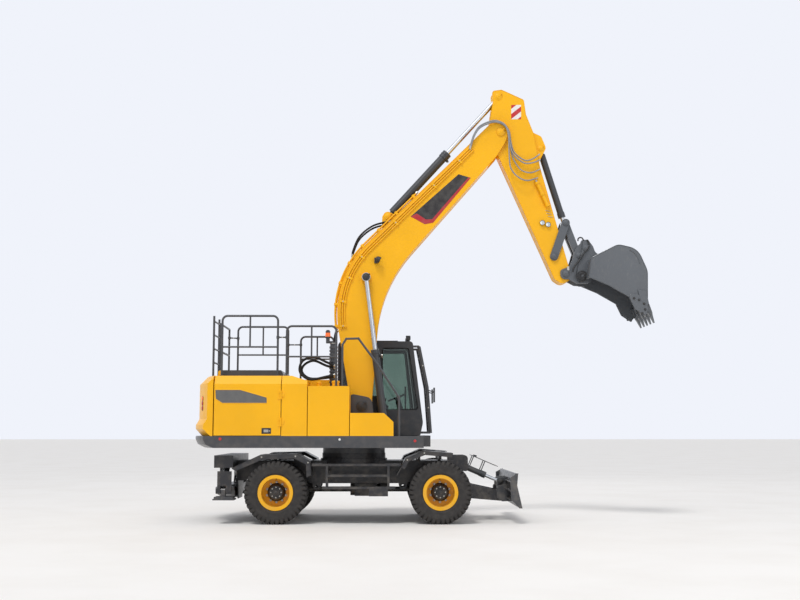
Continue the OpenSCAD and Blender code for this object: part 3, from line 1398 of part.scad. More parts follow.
placed() boom();
placed() boom_barrels();
placed() boom_rods();
placed() arm();
placed() arm_barrel();
placed() arm_rod();
placed() bucket_barrel();
placed() bucket_rod();
placed() rocker();
placed() link();
placed() quick_coupler();
placed() bucket();
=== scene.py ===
"""Looks of a wheeled excavator: finishes, trim, soft seat, hoses, lights and camera, in the CAD's frame."""

import json
import logging
import math
from dataclasses import dataclass, field, replace
from enum import Enum
from typing import Sequence

import bmesh
import bpy
from mathutils import Euler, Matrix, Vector


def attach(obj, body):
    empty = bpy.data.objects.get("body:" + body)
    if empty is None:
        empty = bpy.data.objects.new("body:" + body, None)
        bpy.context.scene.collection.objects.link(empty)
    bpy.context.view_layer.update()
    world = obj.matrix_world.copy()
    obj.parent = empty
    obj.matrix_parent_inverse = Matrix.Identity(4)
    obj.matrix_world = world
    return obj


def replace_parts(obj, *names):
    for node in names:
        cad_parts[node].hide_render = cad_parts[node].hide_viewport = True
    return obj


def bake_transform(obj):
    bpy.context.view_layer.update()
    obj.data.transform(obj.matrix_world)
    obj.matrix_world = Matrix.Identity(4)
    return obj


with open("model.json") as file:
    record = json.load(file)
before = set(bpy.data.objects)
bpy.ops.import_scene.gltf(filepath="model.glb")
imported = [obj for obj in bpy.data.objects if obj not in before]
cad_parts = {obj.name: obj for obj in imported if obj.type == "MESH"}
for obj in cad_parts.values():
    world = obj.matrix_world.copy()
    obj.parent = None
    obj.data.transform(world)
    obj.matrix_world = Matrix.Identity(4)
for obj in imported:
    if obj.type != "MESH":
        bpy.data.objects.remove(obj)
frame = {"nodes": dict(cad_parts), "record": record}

logging.basicConfig(level=logging.INFO, format="%(message)s")
log = logging.getLogger("looks")

Point = tuple[float, float, float]
Flat = tuple[float, float]
Socket = bpy.types.NodeSocket

# The CAD draws the machine about its swing axis, in millimetres, and then moves it along X by this much
SWING_X = -1281.0
MM = 0.001
# The two sides of the centre plane, and the corners of a rectangle about its middle
BOTH = (1.0, -1.0)
CORNERS = ((-1, -1), (1, -1), (1, 1), (-1, 1))


def at(x: float, y: float, z: float) -> Vector:
    """Gives a point of the CAD's own drawing in the row frame.

    Args:
        x: Millimetres ahead of the swing axis.
        y: Millimetres to the left.
        z: Millimetres above the ground.

    Returns:
        The same point in metres.
    """
    return Vector(((x + SWING_X) * MM, y * MM, z * MM))


def span(a: Vector, b: Vector) -> tuple[Vector, Vector]:
    """Sorts two opposite corners of a block into the lowest and the highest."""
    return Vector([min(pair) for pair in zip(a, b)]), Vector([max(pair) for pair in zip(a, b)])


def path_length(points: Sequence[Vector]) -> float:
    """Adds up the distances between neighbouring points, in metres."""
    return sum((b - a).length for a, b in zip(points, points[1:]))


def facing(way: Vector) -> Euler:
    """Gives the rotation of a lamp that shines along way."""
    return way.to_track_quat("-Z", "Y").to_euler()


def new_object(name: str, data: bpy.types.ID) -> bpy.types.Object:
    """Puts a new object in the scene.

    Args:
        name: The object's name.
        data: Its mesh, lamp or camera.

    Returns:
        The new object.
    """
    made = bpy.data.objects.new(name, data)
    bpy.context.scene.collection.objects.link(made)
    return made


@dataclass(frozen=True)
class Link:
    """A link of the front with its own drawing frame: the chord lies along its first axis."""

    foot: Flat
    angle_deg: float

    def flat(self, u: float, v: float) -> Flat:
        """Turns a point of the link's frame into the machine's X and Z in millimetres."""
        a = math.radians(self.angle_deg)
        return (
            self.foot[0] + u * math.cos(a) - v * math.sin(a),
            self.foot[1] + u * math.sin(a) + v * math.cos(a),
        )

    def point(self, u: float, y: float, v: float) -> Vector:
        """Turns a point of the link's frame into the row frame."""
        x, z = self.flat(u, v)
        return at(x, y, z)

    def axis(self, u: float, v: float) -> Vector:
        """Turns a direction of the link's frame into the row frame."""
        a = math.radians(self.angle_deg)
        return Vector((u * math.cos(a) - v * math.sin(a), 0.0, u * math.sin(a) + v * math.cos(a)))


BOOM = Link((140.0, 2006.0), 63.25)
ARM = Link(BOOM.flat(5690.0, 0.0), -66.2)
TIP = Link(ARM.flat(2900.0, 0.0), 0.0)
Y_AXIS = Vector((0.0, 1.0, 0.0))
Z_AXIS = Vector((0.0, 0.0, 1.0))


# Colour


def linear(hex_colour: str) -> tuple[float, float, float, float]:
    """Turns an sRGB hex colour into linear light.

    Args:
        hex_colour: Six hex digits with a leading mark.

    Returns:
        Red, green, blue and full alpha.
    """
    raw = [int(hex_colour[i : i + 2], 16) / 255 for i in (1, 3, 5)]
    light = [c / 12.92 if c <= 0.04045 else ((c + 0.055) / 1.055) ** 2.4 for c in raw]
    return (light[0], light[1], light[2], 1.0)


# Materials


class Shader:
    """One material's node tree, with a call that adds a node with its settings and links."""

    def __init__(self, name: str) -> None:
        """Starts an empty tree with its output and the object's own coordinates.

        Args:
            name: The material's name.
        """
        self.material = bpy.data.materials.new(name)
        self.material.use_nodes = True
        self.tree = self.material.node_tree
        self.tree.nodes.clear()
        self.output = self.tree.nodes.new("ShaderNodeOutputMaterial")
        self.place = self.add("ShaderNodeTexCoord").outputs["Object"]

    def add(self, kind: str, settings: dict | None = None, links: dict | None = None) -> bpy.types.Node:
        """Adds a node.

        Args:
            kind: The node's type.
            settings: Values for its sockets or its own properties.
            links: Sockets that feed its inputs.

        Returns:
            The new node.
        """
        made = self.tree.nodes.new(kind)
        for key, value in (settings or {}).items():
            if isinstance(key, int) or key in made.inputs:
                made.inputs[key].default_value = value
            else:
                setattr(made, key, value)
        for key, source in (links or {}).items():
            self.tree.links.new(source, made.inputs[key])
        return made

    def noise(self, size_mm: float, detail: float = 3.0, stretch: Point = (1.0, 1.0, 1.0)) -> Socket:
        """Adds a noise.

        Args:
            size_mm: How far its features are across.
            detail: How many finer layers it has.
            stretch: How much denser it is along each axis.

        Returns:
            Its value, between 0 and 1.
        """
        mapping = self.add("ShaderNodeMapping", {"Scale": stretch}, {"Vector": self.place})
        made = self.add(
            "ShaderNodeTexNoise",
            {"Scale": 1.0 / (size_mm * MM), "Detail": detail, "Roughness": 0.55},
            {"Vector": mapping.outputs[0]},
        )
        return made.outputs["Fac"]

    def ramp(self, source: Socket, low: float, high: float, to: Flat = (0.0, 1.0)) -> Socket:
        """Spreads one range of values over another.

        Args:
            source: The value.
            low: Where its range starts.
            high: Where its range ends.
            to: The range it takes.

        Returns:
            The new value.
        """
        made = self.add(
            "ShaderNodeMapRange",
            {"From Min": low, "From Max": high, "To Min": to[0], "To Max": to[1]},
            {"Value": source},
        )
        return made.outputs[0]

    def math(self, operation: str, a: Socket, b: Socket | float) -> Socket:
        """Joins two values by an operation.

        Args:
            operation: The operation's name; a product stays between 0 and 1.
            a: The first value.
            b: The second value.

        Returns:
            The outcome.
        """
        settings = {"operation": operation, "use_clamp": operation == "MULTIPLY"}
        made = self.add("ShaderNodeMath", settings, {0: a})
        if isinstance(b, (int, float)):
            made.inputs[1].default_value = b
        else:
            self.tree.links.new(b, made.inputs[1])
        return made.outputs[0]

    def mix(self, amount: Socket, a: Socket | str, b: Socket | str) -> Socket:
        """Mixes two colours, each a hex colour or a socket.

        Args:
            amount: How much of the second one shows.
            a: The first colour.
            b: The second colour.

        Returns:
            The mixed colour.
        """
        made = self.add("ShaderNodeMix", {"data_type": "RGBA"})
        self.tree.links.new(amount, made.inputs["Factor"])
        for socket, value in ((made.inputs[6], a), (made.inputs[7], b)):
            if isinstance(value, str):
                socket.default_value = linear(value)
            else:
                self.tree.links.new(value, socket)
        return made.outputs[2]

    def height(self) -> Socket:
        """Gives the height above the ground at rest, in metres."""
        return self.add("ShaderNodeSeparateXYZ", {}, {0: self.place}).outputs[2]

    def bump(self, source: Socket, depth_mm: float, strength: float = 1.0) -> Socket:
        """Turns a value into a relief depth_mm deep."""
        settings = {"Distance": depth_mm * MM, "Strength": strength}
        return self.add("ShaderNodeBump", settings, {"Height": source}).outputs[0]

    def close(self, constants: dict, links: dict, flat: Socket | None = None) -> bpy.types.Material:
        """Ends the tree with the main shader.

        Args:
            constants: Values set on the shader's own sockets.
            links: Sockets that vary over the surface.
            flat: The relief, if there is one.

        Returns:
            The material.
        """
        bsdf = self.add("ShaderNodeBsdfPrincipled", constants, links)
        if flat is not None:
            self.tree.links.new(flat, bsdf.inputs["Normal"])
        self.tree.links.new(bsdf.outputs[0], self.output.inputs["Surface"])
        return self.material


@dataclass(frozen=True)
class Paint:
    """Sprayed paint on steel plate or casting.

    The eye gets a slow drift of tone, road dust that thickens towards the ground, the spray's fine ripple,
    and bare or dulled edges where wear is above zero. The ripple is drawn coarser than real.
    """

    name: str
    colour: str
    roughness: float = 0.34
    coat: float = 0.25
    ripple_mm: float = 4.0
    ripple_depth_mm: float = 0.05
    dust: float = 0.25
    dust_top_m: float = 1.6
    wear: float = 0.0
    worn_colour: str = "#8b8781"
    edge_mm: float = 5.0
    shade: str = "#2a2620"
    dust_colour: str = "#a89c8c"

    def build(self) -> bpy.types.Material:
        """Makes the material.

        Returns:
            The material.
        """
        s = Shader(self.name)
        drift = s.ramp(s.noise(700, 4), 0.3, 0.7, (0.0, 0.09))
        tone = s.mix(drift, self.colour, self.shade)
        low = s.ramp(s.height(), 0.2, self.dust_top_m, (1.0, 0.12))
        patch = s.ramp(s.noise(140, 6), 0.42, 0.75)
        dust = s.math("MULTIPLY", s.math("MULTIPLY", low, patch), self.dust)
        dusty = s.mix(dust, tone, self.dust_colour)
        edge = s.add("ShaderNodeBevel", {"samples": 4, "Radius": self.edge_mm * MM}).outputs[0]
        if self.wear > 0:
            true_normal = s.add("ShaderNodeNewGeometry").outputs["Normal"]
            turned = s.add("ShaderNodeVectorMath", {"operation": "DOT_PRODUCT"}, {0: edge, 1: true_normal})
            rim = s.ramp(turned.outputs["Value"], 0.985, 0.9)
            scuff = s.ramp(s.noise(35, 8, (1.0, 1.0, 0.35)), 0.56, 0.68)
            rubbed = s.math("MULTIPLY", rim, s.noise(60, 4))
            worn = s.math("MULTIPLY", s.math("MAXIMUM", rubbed, scuff), self.wear)
            dusty = s.mix(worn, dusty, self.worn_colour)
        rough = s.ramp(s.noise(90, 5), 0.3, 0.7, (self.roughness - 0.06, self.roughness + 0.1))
        ripple = s.add(
            "ShaderNodeBump",
            {"Distance": self.ripple_depth_mm * MM, "Strength": 0.6},
            {"Height": s.noise(self.ripple_mm, 2), "Normal": edge},
        )
        return s.close(
            {"Coat Weight": self.coat, "Coat Roughness": 0.12, "Specular IOR Level": 0.3},
            {"Base Color": dusty, "Roughness": rough},
            ripple.outputs[0],
        )


@dataclass(frozen=True)
class Rubber:
    """Moulded rubber: the eye gets dull black, dry dust in patches and a grain drawn coarser than real."""

    name: str
    colour: str = "#262422"
    dust_colour: str = "#7c7268"
    dust: float = 0.55

    def build(self) -> bpy.types.Material:
        """Makes the material.

        Returns:
            The material.
        """
        s = Shader(self.name)
        cloud = s.ramp(s.noise(90, 8), 0.4, 0.72)
        fine = s.ramp(s.noise(9, 4), 0.35, 0.7, (0.35, 1.0))
        dust = s.math("MULTIPLY", s.math("MULTIPLY", cloud, fine), self.dust)
        colour = s.mix(dust, self.colour, self.dust_colour)
        rough = s.ramp(s.noise(40, 4), 0.3, 0.7, (0.72, 0.92))
        grain = s.bump(s.noise(2.2, 4), 0.35, 0.5)
        return s.close({"Specular IOR Level": 0.3}, {"Base Color": colour, "Roughness": rough}, grain)


@dataclass(frozen=True)
class Plated:
    """Plated or silvered metal: the eye gets a bright line, a film of oil and faint grinding marks.

    The marks are drawn far coarser than real ones, which would not show from the camera's distance.
    """

    name: str
    colour: str = "#d9dcde"
    roughness: float = 0.14
    along: Point = (1.0, 1.0, 1.0)
    oil: str = "#6f675c"

    def build(self) -> bpy.types.Material:
        """Makes the material.

        Returns:
            The material.
        """
        s = Shader(self.name)
        film = s.ramp(s.noise(160, 4), 0.4, 0.75, (0.0, 0.22))
        colour = s.mix(film, self.colour, self.oil)
        rough = s.ramp(s.noise(3.0, 6, self.along), 0.3, 0.7, (self.roughness - 0.05, self.roughness + 0.12))
        marks = s.bump(s.noise(1.5, 3), 0.02, 0.4)
        return s.close({"Metallic": 1.0}, {"Base Color": colour, "Roughness": rough}, marks)


@dataclass(frozen=True)
class Clear:
    """Tinted safety glass or a clear lens: the eye sees through it, with a light haze of dust in patches."""

    name: str
    tint: str = "#cfe3da"
    haze: float = 0.08
    dusty: str = "#b9c7bd"

    def build(self) -> bpy.types.Material:
        """Makes the material.

        Returns:
            The material.
        """
        s = Shader(self.name)
        rough = s.ramp(s.noise(120, 6), 0.45, 0.8, (0.015, 0.015 + self.haze))
        colour = s.mix(s.ramp(s.noise(300, 3), 0.4, 0.8, (0.0, 0.3)), self.tint, self.dusty)
        return s.close({"Transmission Weight": 1.0, "IOR": 1.45}, {"Base Color": colour, "Roughness": rough})


@dataclass(frozen=True)
class Woven:
    """Woven seat cloth: the eye gets crossing threads and a soft sheen at grazing angles.

    The threads are drawn coarser than in real cloth.
    """

    name: str
    colour: str = "#2d2f33"
    thread_mm: float = 2.4
    rubbed: str = "#4a4c50"

    def build(self) -> bpy.types.Material:
        """Makes the material.

        Returns:
            The material.
        """
        s = Shader(self.name)
        heights = []
        scale = math.pi / (self.thread_mm * MM * 10)
        for direction in ("X", "Z"):
            settings = {"bands_direction": direction, "Scale": scale, "Distortion": 0.4}
            wave = s.add("ShaderNodeTexWave", settings, {"Vector": s.place})
            heights.append(wave.outputs["Fac"])
        weave = s.math("MULTIPLY", heights[0], heights[1])
        colour = s.mix(s.ramp(s.noise(60, 5), 0.35, 0.7, (0.0, 0.4)), self.colour, self.rubbed)
        rough = s.ramp(weave, 0.0, 1.0, (0.95, 0.78))
        return s.close(
            {"Sheen Weight": 0.35, "Sheen Roughness": 0.5},
            {"Base Color": colour, "Roughness": rough},
            s.bump(weave, 0.5, 0.7),
        )


@dataclass(frozen=True)
class Moulded:
    """Moulded plastic: the eye gets an even grain, drawn coarser than real, and slight fading."""

    name: str
    colour: str
    roughness: float = 0.5
    grain_mm: float = 1.6
    glow: float = 0.0
    bleach: str = "#8a8880"

    def build(self) -> bpy.types.Material:
        """Makes the material.

        Returns:
            The material.
        """
        s = Shader(self.name)
        faded = s.mix(s.ramp(s.noise(110, 4), 0.35, 0.7, (0.0, 0.18)), self.colour, self.bleach)
        rough = s.ramp(s.noise(50, 3), 0.3, 0.7, (self.roughness - 0.06, self.roughness + 0.08))
        constants = {"Specular IOR Level": 0.5}
        if self.glow > 0:
            constants["Emission Color"] = linear(self.colour)
            constants["Emission Strength"] = self.glow
        grain = s.bump(s.noise(self.grain_mm, 2), 0.12, 0.5)
        return s.close(constants, {"Base Color": faded, "Roughness": rough}, grain)


@dataclass(frozen=True)
class Striped:
    """Reflective film: the eye gets slanting red and white bands, and faint cells coarser than real."""

    name: str
    pitch_mm: float
    slant: Point
    colours: tuple[str, str] = ("#c4161c", "#ece8e2")
    dust_colour: str = "#9a9186"

    def build(self) -> bpy.types.Material:
        """Makes the material.

        Returns:
            The material.
        """
        s = Shader(self.name)
        across = s.add("ShaderNodeVectorMath", {"operation": "DOT_PRODUCT", 1: self.slant}, {0: s.place})
        saw = s.math("FRACT", s.math("DIVIDE", across.outputs["Value"], self.pitch_mm * MM), 0.0)
        band = s.ramp(saw, 0.49, 0.51)
        colour = s.mix(band, self.colours[0], self.colours[1])
        aged = s.mix(s.ramp(s.noise(80, 5), 0.45, 0.8, (0.0, 0.2)), colour, self.dust_colour)
        cells = s.bump(s.noise(3.0, 1), 0.05, 0.4)
        return s.close({"Roughness": 0.3, "Coat Weight": 0.3}, {"Base Color": aged}, cells)


class Finish(Enum):
    """Every finish on the machine."""

    YELLOW = Paint("gloss_yellow_paint_on_plate", "#fcb90a", roughness=0.38, coat=0.1, dust=0.1)
    RIM = Paint(
        "yellow_paint_on_pressed_rim",
        "#f7b512",
        roughness=0.42,
        coat=0.1,
        dust=0.25,
        dust_top_m=1.4,
        wear=0.1,
    )
    FRAME = Paint("dark_grey_paint_on_welded_frame", "#46474a", roughness=0.42, dust=0.4)
    HUB = Paint(
        "black_paint_on_hub_casting", "#242426", roughness=0.45, ripple_mm=5.0, ripple_depth_mm=0.3, dust=0.2
    )
    # The frame's grey darkened: painted shade for the parts under the body
    CHASSIS = Paint("black_paint_on_welded_chassis", "#2f2f32", roughness=0.42, dust=0.3)
    CAST = Paint(
        "black_paint_on_casting", "#2f3032", roughness=0.5, ripple_mm=6.0, ripple_depth_mm=0.4, dust=0.5
    )
    BARREL = Paint("black_paint_on_drawn_tube", "#3b3d40", roughness=0.36, dust=0.25)
    TOOL = Paint("worn_grey_paint_on_cast_tool", "#5d6166", roughness=0.42, dust=0.15, wear=0.14, edge_mm=8.0)
    EDGE = Paint("ground_wear_steel", "#6b6c6d", roughness=0.5, dust=0.2, wear=0.9, worn_colour="#b3b0ab")
    CAB = Paint(
        "satin_black_paint_on_cab_tube", "#3a3b3e", roughness=0.45, coat=0.1, dust=0.2, dust_top_m=2.6
    )
    ENGINE = Paint("grey_enamel_on_engine", "#7c8084", roughness=0.4, ripple_mm=6.0, ripple_depth_mm=0.3)
    ZINC = Plated("zinc_plated_bolts", "#b9b6ae", roughness=0.34)
    CHROME = Plated("hard_chrome_on_ground_rod", "#c6c9cd", roughness=0.2, along=(0.2, 1.0, 0.2))
    # A real green tint, made darker to stand in for the shade inside the cab: partly painted shade
    GLASS = Clear("green_tinted_safety_glass", "#8fa39a")
    LENS = Clear("clear_lamp_lens", "#f4f6f6", 0.02)
    TYRE = Rubber("block_tread_tyre_rubber", "#353332", "#67625c", 0.3)
    SEAL = Rubber("extruded_rubber_seal", "#1c1c1d", "#4b4844", 0.3)
    HOSE = Rubber("braided_hose_cover", "#1f1f21", "#58534d", 0.3)
    SLEEVE = Rubber("grey_spiral_sleeve_on_hose", "#8e9093", "#b4b2ae", 0.5)
    SEAT = Woven("woven_seat_cloth")
    PLASTIC = Moulded("grained_black_plastic", "#232427")
    GREY_PLASTIC = Moulded("moulded_grey_vent", "#5f5f5f", 0.6)
    # The glow is the tail lamps' own light; on the red side reflectors, which are no lamps, it is a painted
    # glint
    RED = Moulded("red_lamp_plastic", "#b3141a", 0.2, glow=0.15)
    AMBER = Moulded("amber_lamp_plastic", "#e9661a", 0.2, glow=0.35)
    WHITE = Moulded("white_reflector_plastic", "#e8e8e4", 0.3)
    MIRROR = Plated("silvered_mirror_glass", "#e6eaec", roughness=0.06)
    BANNER = Moulded("dark_film_banner", "#231f20", 0.3)
    BANNER_RED = Moulded("red_film_banner", "#b3202a", 0.3)
    STRIPES = Striped("red_white_warning_film", 150.0, (0.62, 0.0, -0.78))

    def material(self) -> bpy.types.Material:
        """Gives this finish's material, made on its first use.

        Returns:
            The material.
        """
        if self.value.name not in bpy.data.materials:
            return self.value.build()
        return bpy.data.materials[self.value.name]


# CAD nodes under the body, in the frame's grey darkened as painted shade of the underside, whatever finish
# their slot has elsewhere
UNDERCARRIAGE = (
    "chassis_frame",
    "mudguards",
    "steps",
    "slew_ring",
    "blade_arms",
    "outrigger_arm_left",
    "outrigger_arm_right",
)

# The finish of each material slot in the record
SLOTS: dict[str, Finish] = {
    "frame_paint": Finish.FRAME,
    "body_yellow": Finish.YELLOW,
    "cast_black": Finish.CAST,
    "rim_paint": Finish.RIM,
    "tyre_rubber": Finish.TYRE,
    "rod_chrome": Finish.CHROME,
    "barrel_paint": Finish.BARREL,
    "tool_grey": Finish.TOOL,
    "cab_paint": Finish.CAB,
    "window_glass": Finish.GLASS,
    "seat_trim": Finish.PLASTIC,
    "engine_grey": Finish.ENGINE,
}


def dress_nodes() -> None:
    """Gives every CAD node the finish of its material slot in the record; the nodes under the body take the
    frame's grey darkened as painted shade.
    """
    slot_of = {entry["node"]: entry["material_slot"] for entry in frame["record"]["subparts"]}
    for name, obj in frame["nodes"].items():
        finish = Finish.CHASSIS if name in UNDERCARRIAGE else SLOTS[slot_of[name]]
        obj.data.materials.clear()
        obj.data.materials.append(finish.material())
        log.info("node %s: %s", name, finish.value.name)


# Mesh building


def basis(axis: Vector) -> tuple[Vector, Vector]:
    """Gives two directions square to an axis and to each other.

    Args:
        axis: The axis.

    Returns:
        The two directions.
    """
    side = Z_AXIS if abs(axis.normalized().z) < 0.9 else Vector((1.0, 0.0, 0.0))
    u = axis.cross(side).normalized()
    return u, axis.cross(u).normalized()


@dataclass
class Piece:
    """A mesh that grows by turned, swept and flat parts, and ends as one object on a body."""

    name: str
    body: str
    slot: str
    mesh: bmesh.types.BMesh = field(default_factory=bmesh.new)
    finishes: list[Finish] = field(default_factory=list)

    def _index(self, finish: Finish) -> int:
        """Gives the place of a finish in this piece's material list.

        Args:
            finish: The finish.

        Returns:
            Its place; a new finish goes to the end.
        """
        if finish not in self.finishes:
            self.finishes.append(finish)
        return self.finishes.index(finish)

    def skin(self, rings: Sequence[Sequence[Vector]], finish: Finish, caps: bool, loop: bool = False) -> None:
        """Joins closed rings of points into a skin.

        Args:
            rings: The rings, with the same number of points in each.
            finish: The finish.
            caps: Whether the first and the last ring are closed by a face.
            loop: Whether the last ring joins the first one.
        """
        index = self._index(finish)
        rows = [[self.mesh.verts.new(p) for p in ring] for ring in rings]
        pairs = list(zip(rows, rows[1:])) + ([(rows[-1], rows[0])] if loop else [])
        for low, high in pairs:
            for i in range(len(low)):
                j = (i + 1) % len(low)
                self.mesh.faces.new((low[i], low[j], high[j], high[i])).material_index = index
        if caps:
            self.mesh.faces.new(list(reversed(rows[0]))).material_index = index
            self.mesh.faces.new(rows[-1]).material_index = index

    def lathe(
        self, centre: Vector, axis: Vector, profile: Sequence[Flat], finish: Finish, steps: int = 24
    ) -> None:
        """Turns a profile about an axis.

        Args:
            centre: Where the axis starts.
            axis: The axis.
            profile: Rows of distance along the axis and radius, in millimetres.
            finish: The finish.
            steps: Sides of the turned form; 6 gives a nut.
        """
        axis = axis.normalized()
        u, v = basis(axis)
        spokes = [i * math.tau / steps for i in range(steps)]
        rings = []
        for along, radius in profile:
            r = max(radius, 0.05) * MM
            middle = centre + axis * along * MM
            rings.append([middle + (u * math.cos(a) + v * math.sin(a)) * r for a in spokes])
        self.skin(rings, finish, True)

    def tube(
        self, path: Sequence[Vector], radius_mm: float, finish: Finish, sides: int = 12, loop: bool = False
    ) -> None:
        """Sweeps a round section along a path.

        Args:
            path: The points of the centre line, in metres.
            radius_mm: The section's radius.
            finish: The finish.
            sides: Sides of the section.
            loop: Whether the path closes on itself.
        """
        count = len(path)
        angles = [k * math.tau / sides for k in range(sides)]
        rings = []
        u = None
        for i, p in enumerate(path):
            after = path[(i + 1) % count] if loop or i + 1 < count else p
            before = path[i - 1] if loop or i > 0 else p
            run = (after - before).normalized()
            u = basis(run)[0] if u is None else (u - run * u.dot(run)).normalized()
            v = run.cross(u)
            rings.append([p + (u * math.cos(a) + v * math.sin(a)) * radius_mm * MM for a in angles])
        self.skin(rings, finish, not loop, loop)

    def plate(
        self,
        outline: Sequence[Vector],
        normal: Vector,
        thick_mm: float,
        finish: Finish,
        inset_mm: float = 0.0,
    ) -> None:
        """Raises a flat outline along its normal.

        Args:
            outline: The corners, in metres.
            normal: The way it is raised.
            thick_mm: How far.
            finish: The finish.
            inset_mm: How far the top is drawn in, which gives a soft edge.
        """
        normal = normal.normalized()
        middle = sum(outline, Vector()) / len(outline)
        rings = [list(outline), [p + normal * (thick_mm - inset_mm) * MM for p in outline]]
        if inset_mm > 0:
            top = []
            for p in outline:
                reach = (middle - p).normalized() * inset_mm * MM
                top.append(p + reach + normal * thick_mm * MM)
            rings.append(top)
        self.skin(rings, finish, True)

    def box(self, low: Vector, high: Vector, finish: Finish, inset_mm: float = 3.0) -> None:
        """Adds a block whose top is drawn in.

        Args:
            low: Its lowest corner.
            high: Its highest corner.
            finish: The finish.
            inset_mm: How far the top is drawn in.
        """
        corners = ((low.x, low.y), (high.x, low.y), (high.x, high.y), (low.x, high.y))
        outline = [Vector((x, y, low.z)) for x, y in corners]
        self.plate(outline, Z_AXIS, (high.z - low.z) / MM, finish, inset_mm)

    def bolt(self, centre: Vector, axis: Vector, across_mm: float, finish: Finish = Finish.ZINC) -> None:
        """Adds a hexagon bolt head on its washer.

        Args:
            centre: The middle of the face it sits on.
            axis: The way out of that face.
            across_mm: The head's width.
            finish: The finish.
        """
        r = across_mm / 2
        washer = [(-2, r * 1.1), (-2, r * 1.35), (r * 0.22, r * 1.35), (r * 0.3, r * 1.2)]
        self.lathe(centre, axis, washer, finish, 20)
        head = [(r * 0.2, r * 0.98), (r * 0.3, r * 1.12), (r * 1.05, r * 1.12), (r * 1.25, r * 0.92)]
        self.lathe(centre, axis, head, finish, 6)

    def done(self, rides: bool = True) -> bpy.types.Object:
        """Makes the object, sets its materials and hangs it on its body.

        Args:
            rides: False leaves the piece on no body, as for a hose between two bodies.

        Returns:
            The new object.
        """
        bmesh.ops.recalc_face_normals(self.mesh, faces=self.mesh.faces)
        data = bpy.data.meshes.new(self.name)
        self.mesh.to_mesh(data)
        self.mesh.free()
        for polygon in data.polygons:
            polygon.use_smooth = True
        data.set_sharp_from_angle(angle=math.radians(34))
        for finish in self.finishes:
            data.materials.append(finish.material())
        obj = new_object(self.name, data)
        if rides:
            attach(obj, self.body)
        log.info("piece %s on %s: %d faces", self.name, self.body, len(data.polygons))
        return obj


def smooth_path(points: Sequence[Vector], per_span: int = 8) -> list[Vector]:
    """Runs a smooth curve through points.

    Args:
        points: The points.
        per_span: Steps between two of them.

    Returns:
        The curve's points.
    """
    out = []
    count = len(points)
    for i in range(count - 1):
        p0, p1, p2, p3 = points[max(i - 1, 0)], points[i], points[i + 1], points[min(i + 2, count - 1)]
        for k in range(per_span):
            t = k / per_span
            a = -0.5 * t**3 + t**2 - 0.5 * t
            b = 1.5 * t**3 - 2.5 * t**2 + 1
            c = -1.5 * t**3 + 2 * t**2 + 0.5 * t
            d = 0.5 * t**3 - 0.5 * t**2
            out.append(p0 * a + p1 * b + p2 * c + p3 * d)
    out.append(points[-1])
    return out


# Wheels


class Side(Enum):
    """A side of the machine, with the sign of its Y."""

    LEFT = 1.0
    RIGHT = -1.0

    @property
    def label(self) -> str:
        """The side's word in names."""
        return self.name.lower()


class Axle(Enum):
    """An axle, with its distance ahead of the swing axis in millimetres."""

    FRONT = 1505.0
    REAR = -1295.0

    @property
    def label(self) -> str:
        """The axle's word in names."""
        return self.name.lower()


@dataclass(frozen=True)
class WheelTrim:
    """Nuts, hub cap, hub bolts and valve of one twin wheel."""

    side: Side
    axle: Axle
    axle_z: float = 530.0
    disc_y: float = 976.0
    disc_t: float = 22.0
    nut_circle: float = 168.0
    nuts: int = 10
    hub_circle: float = 88.0
    hub_bolts: int = 8
    hub_bolt_across: float = 17.0
    hub_face: float = 150.0
    valve_radius: float = 5.0

    def _spot(self, reach: float, turn: float, y: float) -> Vector:
        """Gives a place on the wheel.

        Args:
            reach: Millimetres from the axle.
            turn: Part of a full turn from straight ahead.
            y: Millimetres outward from the disc's inner face.

        Returns:
            The place in metres.
        """
        x, z = reach * math.cos(math.tau * turn), reach * math.sin(math.tau * turn)
        return at(self.axle.value + x, self.side.value * (self.disc_y + y), self.axle_z + z)

    def build(self) -> None:
        """Makes the wheel's trim."""
        out = Y_AXIS * self.side.value
        wheel = f"{self.axle.label}_{self.side.label}"
        piece = Piece(f"wheel_trim_{wheel}", f"wheels_{wheel}", "rim_paint")
        for i in range(self.nuts):
            place = self._spot(self.nut_circle, (i + 0.5) / self.nuts, self.disc_t)
            piece.lathe(place, out, [(-1, 24), (4, 24), (7, 20)], Finish.ZINC, 20)
            piece.lathe(place, out, [(5, 17), (7, 19), (24, 19), (28, 15)], Finish.ZINC, 6)
            piece.lathe(place, out, [(20, 11), (40, 11), (42, 9)], Finish.ZINC, 12)
        for i in range(self.hub_bolts):
            place = self._spot(self.hub_circle, i / self.hub_bolts, self.hub_face)
            piece.bolt(place, out, self.hub_bolt_across)
        cap = [(self.disc_t - 1, 156), (self.disc_t + 10, 156), (self.disc_t + 14, 140), (118, 138.5)]
        end = [(2, 113), (2, 62), (17, 61), (17, 24)]
        cap += [(self.hub_face + along, radius) for along, radius in end]
        piece.lathe(self._spot(0, 0, 0), out, cap, Finish.HUB, 48)
        piece.lathe(self._spot(0, 0, self.hub_face + 15), out, [(-1, 30), (9, 30), (13, 22)], Finish.CAST, 6)
        valve = ((215, self.disc_t), (222, self.disc_t + 30), (232, self.disc_t + 62))
        piece.tube([self._spot(r, 0.25, y) for r, y in valve], self.valve_radius, Finish.SEAL, 10)
        piece.done()


